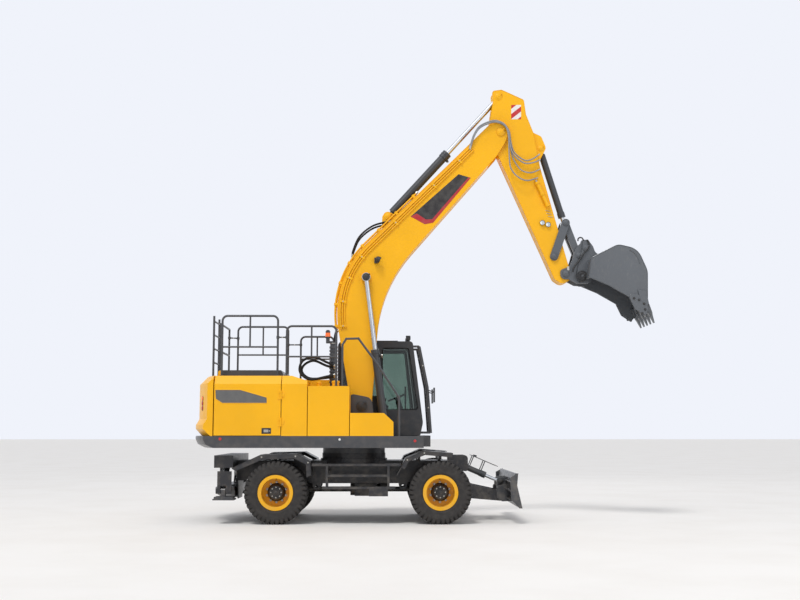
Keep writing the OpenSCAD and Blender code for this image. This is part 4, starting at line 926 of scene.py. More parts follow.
@dataclass(frozen=True)
class TwinTyres:
    """Two block-tread tyres of one wheel, in place of the CAD's light mesh."""

    side: Side
    axle: Axle
    axle_z: float = 530.0
    radius: float = 530.0
    half_width: float = 139.0
    middles: Flat = (1131.0, 821.0)
    pitches: int = 38
    groove: float = 24.0
    lug_foot: float = 6.0
    lean_per_mm: float = 0.0006
    steps: int = 114

    def _spot(self, turn: float, reach: float, y: float) -> Vector:
        """Gives a place on a tyre.

        Args:
            turn: Angle from straight ahead, in radians.
            reach: Millimetres from the axle.
            y: Millimetres from the centre plane, outward.

        Returns:
            The place in metres.
        """
        x, z = reach * math.cos(turn), reach * math.sin(turn)
        return at(self.axle.value + x, self.side.value * y, self.axle_z + z)

    def _carcass(self) -> list[Flat]:
        """Gives the section without the lugs: bead seat, rim guard, wall, shoulder and tread floor.

        Returns:
            Rows of radius and distance from the tyre's middle, from the inner bead to the outer one.
        """
        floor = self.radius - self.groove
        half = [
            (255.0, 97.0), (303.0, 97.0), (311.0, 116.0), (330.0, 124.0), (338.0, 129.5), (346.0, 127.0),
            (385.0, 137.0), (430.0, self.half_width), (442.0, 140.5), (450.0, 137.0), (474.0, 126.0),
            (490.0, 110.0), (floor, 96.0),
        ]
        return [(r, -y) for r, y in half] + [(floor + 2, 0.0)] + [(r, y) for r, y in reversed(half)]

    def _lug(self, turn: float, middle: float, half_way: float) -> list[list[Vector]]:
        """Gives one tread block as rings, from the groove at the middle down over the shoulder.

        Args:
            turn: The block's angle, in radians.
            middle: The tyre's distance from the centre plane.
            half_way: 1 for the outer half of the tread, -1 for the inner one.

        Returns:
            The block's rings.
        """
        ridge = [(7.0, self.radius), (110.0, self.radius), (127.0, 518.0), (138.0, 488.0), (139.0, 460.0)]
        rings = []
        for y, r in ridge:
            lean = turn + self.lean_per_mm * y
            low = r - self.groove - self.lug_foot
            corners = [(-0.058, low), (-0.046, r), (0.046, r), (0.058, low)]
            rings.append([self._spot(lean + a, reach, middle + half_way * y) for a, reach in corners])
        return rings

    def build(self) -> None:
        """Makes both tyres as one piece."""
        wheel = f"{self.axle.label}_{self.side.label}"
        piece = Piece(f"block_tread_{wheel}", f"wheels_{wheel}", "tyre_rubber")
        angles = [k * math.tau / self.steps for k in range(self.steps)]
        for middle in self.middles:
            rings = [[self._spot(a, r, middle + y) for a in angles] for r, y in self._carcass()]
            piece.skin(rings, Finish.TYRE, False, True)
            for i in range(self.pitches):
                for half_way in (-1.0, 1.0):
                    turn = math.tau / self.pitches * (i + (0.5 if half_way > 0 else 0.0))
                    piece.skin(self._lug(turn, middle, half_way), Finish.TYRE, True)
        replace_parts(piece.done(), f"tyres_{wheel}")


# Pivots


@dataclass(frozen=True)
class PinCap:
    """The end of a pivot pin as it shows on a side plate: a collar, a keeper plate and its bolt."""

    centre: Vector
    radius: float
    half_width: float
    finish: Finish = Finish.ZINC
    keeper_angle: float = 40.0
    keeper_t: float = 8.0

    def add(self, piece: Piece) -> None:
        """Adds the cap on both sides of the machine.

        Args:
            piece: The piece that takes it.
        """
        r = self.radius
        a = math.radians(self.keeper_angle)
        reach = Vector((math.cos(a), 0.0, math.sin(a)))
        side = Vector((-math.sin(a), 0.0, math.cos(a)))
        for way in BOTH:
            out = Y_AXIS * way
            face = Vector((self.centre.x, 0.0, self.centre.z)) + out * (self.half_width * MM)
            piece.lathe(face, out, [(-1, r * 1.55), (5, r * 1.55), (7, r * 1.45)], self.finish, 32)
            piece.lathe(face, out, [(4, r), (13, r), (16, r * 0.86)], self.finish, 28)
            corners = [(-0.2, -0.34), (1.9, -0.34), (1.9, 0.34), (-0.2, 0.34)]
            outline = [face + out * 0.012 + (reach * u + side * v) * r * MM for u, v in corners]
            piece.plate(outline, out, self.keeper_t, self.finish, 2)
            piece.bolt(face + out * 0.02 + reach * 1.5 * r * MM, out, r * 0.42, self.finish)


@dataclass(frozen=True)
class PivotPins:
    """Caps on the ends of every pivot pin, one piece for each body that holds pins."""

    boom_foot: Flat = (140.0, 2006.0)
    boom_cylinder_foot: Flat = (570.0, 1475.0)
    blade_foot: Flat = (1930.0, 520.0)
    blade_cylinder_foot: Flat = (1955.0, 956.0)
    blade_cylinder_eye: Flat = (2622.0, 670.0)
    slots: tuple[tuple[str, str], ...] = (
        ("upper", "body_yellow"),
        ("boom", "body_yellow"),
        ("arm", "body_yellow"),
        ("rocker", "tool_grey"),
        ("bucket", "tool_grey"),
        ("chassis", "frame_paint"),
        ("blade", "frame_paint"),
    )

    def _pins(self, body: str) -> list[tuple[Flat, float, float]]:
        """Lists a body's pins.

        Args:
            body: The body.

        Returns:
            Rows of the pin's X and Z, its radius and half the width over its side plates.
        """
        tip = TIP.flat
        return {
            "upper": [(self.boom_foot, 62, 395.5), (self.boom_cylinder_foot, 45, 340.5)],
            "boom": [
                (BOOM.flat(2125, 989), 45, 333.5),
                (BOOM.flat(5690, 0), 48, 212.5),
                (BOOM.flat(3343, 1154), 45, 100.5),
            ],
            "arm": [(ARM.flat(-647, 252), 45, 150.5), (ARM.flat(567, 577), 36, 110.5)],
            "rocker": [(ARM.flat(2523, -62), 36, 196.5), (ARM.flat(2040, 397), 36, 198.5)],
            "bucket": [
                (tip(0, 0), 40, 204.5),
                (tip(245, 341), 36, 198.5),
                (tip(283, -55), 40, 250.5),
                (tip(370, 470), 40, 250.5),
            ],
            "chassis": [(self.blade_foot, 40, 350.5), (self.blade_cylinder_foot, 35, 250.5)],
            "blade": [(self.blade_cylinder_eye, 35, 254.5)],
        }[body]

    def _finish(self, body: str, number: int) -> Finish:
        """Picks a pin's finish.

        Args:
            body: The body that holds the pin.
            number: The pin's place in the body's list; the boom's first one sits by its black hoses.

        Returns:
            The finish.
        """
        if body in ("rocker", "bucket"):
            return Finish.TOOL
        if body == "arm" or (body == "boom" and number > 0):
            return Finish.YELLOW
        return Finish.CAST

    def build(self) -> None:
        """Makes the caps."""
        for body, slot in self.slots:
            piece = Piece(f"pin_caps_{body}", body, slot)
            for number, ((x, z), radius, half_width) in enumerate(self._pins(body)):
                PinCap(at(x, 0, z), radius, half_width, self._finish(body, number)).add(piece)
            piece.done()


# Boom and arm


@dataclass(frozen=True)
class BoomPipes:
    """Steel oil pipes round the outside of the boom's bend, in the CAD boom's clamps, and on its flanks."""

    before: Flat = (-60.0, 185.0)
    corner: Flat = (1800.0, 1560.0)
    after: Flat = (5690.0, 255.0)
    bend: float = 1780.0
    lift: float = 42.0
    radius: float = 15.0
    run: float = 1340.0
    rows: tuple[float, ...] = (-172.0, -128.0, 128.0, 172.0)
    flank_y: float = 215.0
    flank_lifts: tuple[float, ...] = (-52.0, -92.0, -132.0)
    flank_run: float = 2650.0
    flank_radius: float = 13.0
    clamp_steps: tuple[int, ...] = (1, 11, 21, 31, 38, 41, 43)

    def line(self) -> list[Flat]:
        """Gives the pipes' route in the boom's own frame.

        Returns:
            The points of an arc about the bend, then of the straight run behind it.
        """
        c, p, n = Vector(self.corner), Vector(self.before), Vector(self.after)
        u, v = (p - c).normalized(), (n - c).normalized()
        half = math.acos(u.dot(v)) / 2
        middle = c + (u + v).normalized() * self.bend / math.sin(half)
        reach = self.bend / math.tan(half)
        starts = [c + u * reach - middle, c + v * reach - middle]
        a0, a1 = (math.atan2(d.y, d.x) for d in starts)
        r = self.bend + self.lift
        angles = [a0 + (a1 - a0) * k / 36 for k in range(37)]
        arc = [(middle.x + r * math.cos(a), middle.y + r * math.sin(a)) for a in angles]
        last = Vector(arc[-1])
        return arc + [tuple(last + v * self.run * k / 8) for k in range(1, 9)]

    def _clamp(self, piece: Piece, way: float, a: Vector, b: Vector) -> None:
        """Adds one clamp bar and its bolt over the flank pipes.

        Args:
            piece: The piece that takes it.
            way: 1 for the left flank, -1 for the right one.
            a: Its place on the middle pipe.
            b: The next place on that pipe.
        """
        along = (b - a).normalized()
        across = along.cross(Y_AXIS)
        piece.lathe(a, Y_AXIS * way, [(-16, 13), (17, 13), (19, 10)], Finish.ZINC, 6)
        bar = [a + across * (0.062 * i) + along * (0.02 * j) for i, j in CORNERS]
        piece.plate([q + Y_AXIS * way * 0.011 for q in bar], Y_AXIS * way, 6, Finish.YELLOW)

    def build(self) -> None:
        """Makes the pipes, their unions and the flank pipes' clamps."""
        piece = Piece("boom_oil_pipes", "boom", "body_yellow")
        for way in BOTH:
            runs = [replace(self, lift=lift, run=self.flank_run).line() for lift in self.flank_lifts]
            for run in runs:
                route = [BOOM.point(u, way * self.flank_y, v) for u, v in run]
                piece.tube(route, self.flank_radius, Finish.YELLOW, 12)
            middle = [BOOM.point(u, way * self.flank_y, v) for u, v in runs[1]]
            for k in self.clamp_steps:
                self._clamp(piece, way, middle[k], middle[k + 1])
        route = self.line()
        for y in self.rows:
            piece.tube([BOOM.point(u, y, v) for u, v in route], self.radius, Finish.YELLOW, 14)
            for u, v in (route[0], route[-1]):
                union = [(-22, 21), (22, 21), (26, 18)]
                piece.lathe(BOOM.point(u, y, v), BOOM.axis(0.9, -0.35), union, Finish.ZINC, 6)
        piece.done()


@dataclass(frozen=True)
class Film:
    """A thin film stuck on both sides of a link, given by its outline in the link's frame."""

    name: str
    body: str
    link: Link
    outline: tuple[Flat, ...]
    half_width: float
    finish: Finish
    slot: str = "body_yellow"
    gap: float = 0.4
    thick: float = 1.2

    def build(self) -> None:
        """Makes the film."""
        piece = Piece(self.name, self.body, self.slot)
        for way in BOTH:
            corners = [self.link.point(u, way * (self.half_width + self.gap), v) for u, v in self.outline]
            piece.plate(corners, Y_AXIS * way, self.thick, self.finish)
        piece.done()


@dataclass(frozen=True)
class WorkLamp:
    """A round work lamp: housing, rim, reflector and lens."""

    centre: Vector
    axis: Vector
    radius: float = 55.0
    depth: float = 70.0

    def add(self, piece: Piece) -> None:
        """Adds the lamp.

        Args:
            piece: The piece that takes it.
        """
        r, d = self.radius, self.depth
        housing = [(-d, r * 0.55), (-d * 0.7, r * 0.9), (0, r), (6, r), (6, r * 0.9), (-8, r * 0.86)]
        bowl = [(-7, r * 0.2), (-6, r * 0.5), (0, r * 0.86)]
        lens = [(2, r * 0.87), (5, r * 0.85), (8, r * 0.5), (9, r * 0.1)]
        for profile, finish in ((housing, Finish.PLASTIC), (bowl, Finish.MIRROR), (lens, Finish.LENS)):
            piece.lathe(self.centre, self.axis, profile, finish, 28)


@dataclass(frozen=True)
class FrontTrim:
    """Films, lamps and the tube bracket of boom and arm."""

    boom_half_w: float = 200.0
    arm_half_w: float = 150.0
    banner: tuple[Flat, ...] = (
        (3508.0, 777.0), (3498.0, 479.0), (3593.0, 357.0), (4660.0, 112.0), (4619.0, 343.0),
    )
    banner_edge: tuple[Flat, ...] = (
        (3508.0, 777.0), (3498.0, 479.0), (3593.0, 357.0), (4660.0, 112.0),
        (4655.0, 152.0), (3640.0, 402.0), (3585.0, 500.0), (3610.0, 700.0),
    )
    stripes: tuple[Flat, ...] = ((-404.0, 407.0), (-155.0, 293.0), (-82.0, 461.0), (-331.0, 575.0))
    boom_lamp: Flat = (391.0, 4660.0)
    arm_lamps: tuple[Flat, ...] = ((1865.0, 3.0), (1939.0, 87.0))
    bracket_feet: tuple[float, ...] = (1150.0, 1380.0, 1610.0)
    bracket_v: float = 222.0
    bracket_y: float = -196.0
    pipe_ends: tuple[float, ...] = (1700.0, 1760.0, 1820.0)

    def build(self) -> None:
        """Makes the films, then the lamps and the bracket."""
        edge_w = self.boom_half_w + 2
        Film("boom_banner", "boom", BOOM, self.banner, self.boom_half_w, Finish.BANNER).build()
        Film("boom_banner_edge", "boom", BOOM, self.banner_edge, edge_w, Finish.BANNER_RED).build()
        Film("arm_warning_film", "arm", ARM, self.stripes, self.arm_half_w, Finish.STRIPES).build()
        self._boom_lamps()
        self._arm_fittings()

    def _boom_lamps(self) -> None:
        """Makes the work lamp on each side of the boom, with its bracket."""
        piece = Piece("boom_lamps", "boom", "body_yellow")
        for way in BOTH:
            base = at(self.boom_lamp[0], way * self.boom_half_w, self.boom_lamp[1])
            near = base + Vector((-0.03, 0.0, -0.05))
            far = base + Vector((0.03, way * 0.09, 0.05))
            piece.box(*span(near, far), Finish.CAST)
            lamp = base + Vector((0.07, way * 0.1, 0.0))
            WorkLamp(lamp, Vector((0.9, 0.0, -0.42)), 58, 80).add(piece)
        piece.done()

    def _arm_fittings(self) -> None:
        """Makes the arm's lamps, the tube on its three feet, and the ends of the pipes."""
        piece = Piece("arm_lamps_and_bracket", "arm", "body_yellow")
        for u, v in self.arm_lamps:
            for way in BOTH:
                WorkLamp(ARM.point(u, way * 184, v), Y_AXIS * way, 46, 34).add(piece)
        wall, along = -self.arm_half_w, ARM.axis(1, 0)
        for u in self.bracket_feet:
            foot = [ARM.point(u + i * 26, wall, self.bracket_v + j * 44) for i, j in CORNERS]
            piece.plate(foot, Y_AXIS * -1, 20, Finish.YELLOW, 2)
            ring = [(-20, 20), (-20, 44), (20, 44), (20, 20)]
            piece.lathe(ARM.point(u, self.bracket_y, self.bracket_v), along, ring, Finish.YELLOW, 28)
            piece.bolt(ARM.point(u, -182, 223) + Vector((0.0, -0.014, 0.0)), Y_AXIS * -1, 16)
        tube = [(0, 12), (0, 34), (500, 34), (500, 12)]
        piece.lathe(ARM.point(1130, self.bracket_y, self.bracket_v), along, tube, Finish.YELLOW, 28)
        nut = [(-24, 13), (-24, 19), (20, 19)]
        piece.lathe(ARM.point(1112, self.bracket_y, self.bracket_v), along, nut, Finish.ZINC, 6)
        for u in self.pipe_ends:
            bow = ((u - 26, -152, 150), (u, -160, 190), (u + 26, -152, 230))
            piece.tube([ARM.point(*spot) for spot in bow], 5, Finish.ZINC, 8)
        piece.done()


# Bucket


@dataclass(frozen=True)
class BucketTrim:
    """Tooth pins, cutter plates with their bolts, the side seams and the weld beads of the adapters."""

    half_width: float = 580.0
    teeth: int = 5
    root: Flat = (1408.0, -655.0)
    lean_deg: float = -68.4
    seam: tuple[Flat, ...] = ((4969.0, 4809.0), (5050.0, 4760.0), (5112.0, 4670.0), (5149.0, 4563.0))
    cutter: tuple[Flat, ...] = (
        (5090.0, 4092.0), (5250.0, 4070.0), (5262.0, 3960.0), (5290.0, 3840.0),
        (5250.0, 3790.0), (5190.0, 3830.0), (5130.0, 3930.0),
    )
    bolts: tuple[Flat, ...] = (
        (1150.0, -500.0), (1240.0, -530.0), (1330.0, -600.0), (1345.0, -700.0), (1290.0, -770.0),
    )

    def build(self) -> None:
        """Makes the trim."""
        piece = Piece("bucket_trim", "bucket", "tool_grey")
        lip = Link(TIP.flat(*self.root), self.lean_deg)
        for i in range(self.teeth):
            y = (i / (self.teeth - 1) - 0.5) * (2 * self.half_width - 150)
            for way in BOTH:
                pin = [(-2, 17), (5, 17), (8, 12)]
                piece.lathe(lip.point(128, y + way * 48, 0), Y_AXIS * way, pin, Finish.EDGE, 16)
                bead = [lip.point(u, y + way * 50, 14 + u * 0.1) for u in (-86, -40, 0, 40, 80)]
                piece.tube(smooth_path(bead, 4), 7, Finish.EDGE, 8)
        for x, z in self.bolts:
            for way in BOTH:
                piece.bolt(TIP.point(x, way * (self.half_width + 18), z), Y_AXIS * way, 34, Finish.CAST)
        for way in BOTH:
            seam = [at(x, way * (self.half_width + 2), z) for x, z in self.seam]
            piece.tube(smooth_path(seam), 8, Finish.TOOL, 8)
            plate = [at(x, way * (self.half_width + 4), z) for x, z in self.cutter]
            piece.plate(plate, Y_AXIS * way, 16, Finish.TOOL, 4)
        piece.done()


@dataclass(frozen=True)
class CouplerTrim:
    """The large pin boss, the curved oil line and the hook of the quick coupler."""

    cheek_y: float = 250.0
    boss: Flat = (283.0, -55.0)
    boss_bolts: int = 8
    boss_circle: float = 90.0
    line_y: float = 262.0
    line_radius: float = 15.0
    hook_y: float = -190.0
    hook_radius: float = 13.0
    line: tuple[Flat, ...] = (
        (388, 618), (425, 560), (400, 455), (330, 375), (262, 270), (190, 175), (135, 95), (118, 20),
    )
    hook: tuple[Flat, ...] = ((4212, 5040), (4186, 5092), (4146, 5106), (4110, 5084), (4104, 5040))

    def build(self) -> None:
        """Makes the trim."""
        piece = Piece("coupler_trim", "bucket", "tool_grey")
        for way in BOTH:
            face = TIP.point(self.boss[0], way * self.cheek_y, self.boss[1])
            rim = [(-2, 104), (8, 104), (14, 96), (14, 78), (22, 74), (26, 60), (26, 44), (18, 40), (18, 8)]
            piece.lathe(face, Y_AXIS * way, rim, Finish.CAST, 40)
            for k in range(self.boss_bolts):
                a = k * math.tau / self.boss_bolts
                reach = Vector((math.cos(a), 0.0, math.sin(a))) * self.boss_circle * MM
                piece.bolt(face + reach + Y_AXIS * way * 0.012, Y_AXIS * way, 13, Finish.CAST)
            line = smooth_path([TIP.point(x, way * self.line_y, z) for x, z in self.line])
            piece.tube(line, self.line_radius, Finish.CAST, 12)
            tag = span(TIP.point(20, way * 204, 60), TIP.point(60, way * 212, 130))
            piece.box(*tag, Finish.ZINC, 2)
        hook = smooth_path([at(x, self.hook_y, z) for x, z in self.hook])
        piece.tube(hook, self.hook_radius, Finish.CAST, 12)
        piece.done()


# Upper structure


@dataclass(frozen=True)
class BodyTrim:
    """Latches, vents, caps, beacon, reflectors and tail lamps of the upper structure."""

    wall_y: float = 1250.0
    tail_r: float = 2828.0
    tail_lamp_deg: float = 20.5
    vent: tuple[Flat, ...] = (
        (-2330.0, 2114.0), (-2338.0, 2270.0), (-1912.0, 2270.0),
        (-1460.0, 2139.0), (-1460.0, 2041.0), (-2215.0, 2041.0),
    )
    latch_tray: tuple[Flat, Flat] = ((-1538.0, 1524.0), (-1382.0, 1618.0))
    latch_paddle: tuple[Flat, Flat] = ((-1505.0, 1548.0), (-1425.0, 1594.0))
    latch_lock: Flat = (-1405.0, 1571.0)
    caps: tuple[tuple[float, float, float, float], ...] = (
        (-600.0, -780.0, 2394.0, 52.0),
        (-300.0, -900.0, 2404.0, 70.0),
    )
    beacon: Point = (-463.0, -500.0, 3222.0)
    beacon_foot: float = 17.0
    # The red reflectors share the glowing red lamp plastic, a painted glint
    reflectors: tuple[tuple[float, float, float, Finish], ...] = (
        (-2243.0, 1435.0, 26.0, Finish.RED),
        (1072.0, 1401.0, 24.0, Finish.RED),
        (-212.0, 1426.0, 20.0, Finish.WHITE),
    )
    tail_lamps: tuple[tuple[float, Finish], ...] = (
        (2128.0, Finish.AMBER),
        (2044.0, Finish.RED),
        (1960.0, Finish.RED),
    )
    stack: Flat = (-360.0, -500.0)
    stack_clamps: Flat = (2440.0, 3120.0)
    clamp_radius: float = 66.0

    def build(self) -> None:
        """Makes the doors' trim, the body's trim and the stack's clamps."""
        for side in Side:
            self._vent(side)
            self._latch(side)
        piece = Piece("body_trim", "upper", "body_yellow")
        for x, y, z, r in self.caps:
            cap = [(0, r), (26, r), (34, r * 0.85), (34, r * 0.5), (40, r * 0.46)]
            piece.lathe(at(x, y, z), Z_AXIS, cap, Finish.YELLOW, 20)
        foot = at(*self.beacon)
        dome = [(-1, 47), (14, 47), (70, 43), (96, 30), (104, 8)]
        piece.lathe(foot + Z_AXIS * self.beacon_foot * MM, Z_AXIS, dome, Finish.AMBER, 28)
        piece.lathe(foot, Z_AXIS, [(-2, 50), (18, 50), (20, 46)], Finish.PLASTIC, 28)
        for way in BOTH:
            self._signals(piece, way)
        piece.done()
        self._stack()

    def _vent(self, side: Side) -> None:
        """Sets a grey sheet with a raised rim in the recess of a door's vent.

        Args:
            side: The door's side.
        """
        piece = Piece(f"vent_sheet_{side.label}", f"{side.label}_rear_door", "body_yellow")
        y = side.value * (self.wall_y - 1)
        sheet = [at(x, y, z) for x, z in self.vent]
        piece.plate(sheet, Y_AXIS * side.value, 3, Finish.GREY_PLASTIC)
        piece.tube([at(x, y + side.value, z) for x, z in self.vent], 6, Finish.YELLOW, 8, True)
        piece.done()

    def _latch(self, side: Side) -> None:
        """Makes a door's flush latch: tray, paddle and lock.

        Args:
            side: The door's side.
        """
        way, wall = side.value, self.wall_y
        piece = Piece(f"door_latch_{side.label}", f"{side.label}_rear_door", "body_yellow")
        for ((x0, z0), (x1, z1)), back, front, finish, inset in (
            (self.latch_tray, -12, -1, Finish.PLASTIC, 2),
            (self.latch_paddle, -2, 7, Finish.ZINC, 3),
        ):
            block = span(at(x0, way * (wall + back), z0), at(x1, way * (wall + front), z1))
            piece.box(*block, finish, inset)
        x, z = self.latch_lock
        piece.lathe(at(x, way * (wall - 2), z), Y_AXIS * way, [(0, 11), (5, 11), (6, 5)], Finish.ZINC, 20)
        piece.done()

    def _signals(self, piece: Piece, way: float) -> None:
        """Adds the reflectors of one side wall and the lamps of one half of the tail.

        Args:
            piece: The piece that takes them.
            way: 1 for the left side, -1 for the right one.
        """
        for x, z, r, finish in self.reflectors:
            disc = [(-1, r), (4, r), (6, r * 0.8)]
            piece.lathe(at(x, way * self.wall_y, z), Y_AXIS * way, disc, finish, 24)
        a = math.radians(way * self.tail_lamp_deg)
        out = Vector((-math.cos(a), math.sin(a), 0.0))
        reach = self.tail_r - 58
        for z, finish in self.tail_lamps:
            place = at(-reach * math.cos(a), reach * math.sin(a), z)
            piece.lathe(place, out, [(-8, 44), (3, 44), (6, 40)], Finish.PLASTIC, 24)
            piece.lathe(place, out, [(2, 38), (9, 37), (15, 28), (17, 10)], finish, 24)

    def _stack(self) -> None:
        """Makes the clamps round the ribbed stack."""
        piece = Piece("stack_clamps", "upper", "frame_paint")
        x, y = self.stack
        angles = [k * math.tau / 32 for k in range(32)]
        r = self.clamp_radius
        for z in self.stack_clamps:
            ring = [at(x + r * math.cos(a), y + r * math.sin(a), z) for a in angles]
            piece.tube(ring, 5, Finish.ZINC, 8, True)
            piece.bolt(at(x, y - r - 2, z), -Y_AXIS, 14)
        piece.done()


@dataclass(frozen=True)
class RailClamps:
    """The clamps between neighbouring guard rails: two sleeves, a link and its bolt."""

    radius: float = 13.0
    pairs: tuple[tuple[Point, Point], ...] = (
        ((-1303.0, -1040.0, 3187.0), (-1147.0, -1040.0, 3187.0)),
        ((-1303.0, 1040.0, 3215.0), (-1060.0, 1040.0, 3215.0)),
        ((-2425.0, 960.0, 3340.0), (-2267.0, 1040.0, 3340.0)),
    )

    def build(self) -> None:
        """Makes the clamps."""
        piece = Piece("rail_clamps", "upper", "frame_paint")
        for first, second in self.pairs:
            a, b = at(*first), at(*second)
            for place in (a, b):
                piece.lathe(place, Z_AXIS, [(-24, 24), (-22, 27), (22, 27), (24, 24)], Finish.FRAME, 20)
            piece.tube([a, b], self.radius, Finish.FRAME, 12)
            piece.bolt((a + b) / 2 - Y_AXIS * self.radius * MM, -Y_AXIS, 20)
        piece.done()


# Cab


@dataclass(frozen=True)
class GuardBars:
    """The flat bars that stiffen the rods before the windscreen, with the rungs between them."""

    rows: Flat = (440.0, 1210.0)
    middle_y: float = 825.0
    half_width: float = 34.0
    thick: float = 12.0
    spine: tuple[Flat, ...] = ((1190.0, 3143.0), (1341.0, 2378.0), (1400.0, 1532.0))
    bolts: tuple[Flat, ...] = ((1262.0, 2780.0), (1367.0, 2000.0))
    rungs: tuple[Flat, ...] = ((1210.0, 3040.0), (1351.0, 2230.0), (1393.0, 1640.0))
    rung_radius: float = 12.0

    def build(self) -> None:
        """Makes the bars."""
        piece = Piece("windscreen_guard_bars", "upper", "frame_paint")
        for y in self.rows:
            front = [at(x + self.half_width, y, z) for x, z in self.spine]
            back = [at(x - self.half_width, y, z) for x, z in reversed(self.spine)]
            piece.plate(front + back, Y_AXIS, self.thick, Finish.FRAME, 2)
            way = 1.0 if y > self.middle_y else -1.0
            for x, z in self.bolts:
                piece.bolt(at(x, y + 6 * way, z), Y_AXIS * way, 26)
        low, high = self.rows
        for x, z in self.rungs:
            piece.tube([at(x, low + 6, z), at(x, high - 6, z)], self.rung_radius, Finish.FRAME, 12)
        piece.done()


@dataclass(frozen=True)
class CabTrim:
    """Window seals, roof lamps, mirror glass, wiper and the door's handle."""

    inner_y: float = 400.0
    outer_y: float = 1250.0
    roof_z: float = 3235.0
    seal_radius: float = 9.0
    right_pane: tuple[Flat, ...] = (
        (512, 1970), (512, 3080), (540, 3106), (965, 3106), (1000, 3080), (1170, 2000), (1145, 1970),
    )
    rear_pane: tuple[Flat, ...] = (
        (-222, 2210), (-222, 3080), (-195, 3106), (405, 3106), (432, 3080), (432, 2235), (405, 2210),
    )
    door_pane: tuple[Flat, ...] = (
        (18, 1990), (18, 3050), (45, 3066), (915, 3066), (940, 3040), (1055, 1935), (1030, 1915), (60, 1972),
    )
    mirror_x: float = 1459.2
    mirror_z: Flat = (2108.0, 2362.0)
    wiper: tuple[Point, ...] = ((1196, 700, 2020), (1150, 760, 2450), (1138, 800, 2560))
    handle: tuple[Point, ...] = ((1010, 4, 1760), (1012, 40, 1770), (1012, 40, 1860), (1010, 4, 1870))

    def _seal(self, piece: Piece, outline: Sequence[Flat], y: float) -> None:
        """Runs a rubber seal round a window in a side wall.

        Args:
            piece: The piece that takes it.
            outline: The window's corners.
            y: The wall's distance from the centre plane.
        """
        piece.tube([at(x, y, z) for x, z in outline], self.seal_radius, Finish.SEAL, 10, True)

    def build(self) -> None:
        """Makes the trim of the shell and of the door."""
        piece = Piece("cab_trim", "upper", "cab_paint")
        for outline in (self.right_pane, self.rear_pane):
            self._seal(piece, outline, self.inner_y - 2)
        for y in (self.inner_y + 110, self.outer_y - 110):
            lamp = at(1031, y, self.roof_z + 70)
            WorkLamp(lamp, Vector((1.0, 0.0, 0.0)), 36, 24).add(piece)
        bottom, top = self.mirror_z
        for low, high in ((self.inner_y + 53, self.inner_y + 172), (self.outer_y + 13, self.outer_y + 132)):
            corners = ((low, bottom), (high, bottom), (high, top), (low, top))
            glass = [at(self.mirror_x, y, z) for y, z in corners]
            piece.plate(glass, Vector((-1.0, 0.0, 0.0)), 1.5, Finish.MIRROR)
        piece.tube([at(*spot) for spot in self.wiper], 6, Finish.PLASTIC, 10)
        piece.done()
        door = Piece("cab_door_trim", "cab_door", "cab_paint")
        self._seal(door, self.door_pane, self.outer_y + 1)
        handle = [at(x, self.outer_y + y, z) for x, y, z in self.handle]
        door.tube(handle, 9, Finish.PLASTIC, 12)
        door.done()


@dataclass(frozen=True)
class Cushion:
    """One padded part of the seat: its extents and how far it leans back for each millimetre up."""

    x: Flat
    y: Flat
    z: Flat
    lean: float = 0.0
    cuts: int = 11
    crown: float = 0.10
    groove: float = 0.05

    def add(self, mesh: bmesh.types.BMesh, seat_y: float) -> None:
        """Adds the part, crowned on every face and grooved along two stitched seams.

        Args:
            mesh: The mesh that takes it.
            seat_y: The seat's middle plane.
        """
        size = Vector((self.x[1] - self.x[0], self.y[1] - self.y[0], self.z[1] - self.z[0]))
        middle = Vector((sum(self.x) / 2, seat_y, sum(self.z) / 2))
        part = bmesh.new()
        bmesh.ops.create_cube(part, size=1.0)
        bmesh.ops.subdivide_edges(part, edges=part.edges[:], cuts=self.cuts, use_grid_fill=True)
        for v in part.verts:
            c = v.co * 2
            crown = [1 - self.crown * (c[(k + 1) % 3] ** 4 + c[(k + 2) % 3] ** 4) for k in range(3)]
            seam = 1 - self.groove * math.exp(-((abs(c.y) - 0.55) / 0.05) ** 2)
            x, y, z = (v.co[k] * size[k] * crown[k] * seam for k in range(3))
            v.co = at(middle.x + x + self.lean * z, middle.y + y, middle.z + z)
        data = bpy.data.meshes.new("part")
        part.to_mesh(data)
        part.free()
        mesh.from_mesh(data)
        bpy.data.meshes.remove(data)


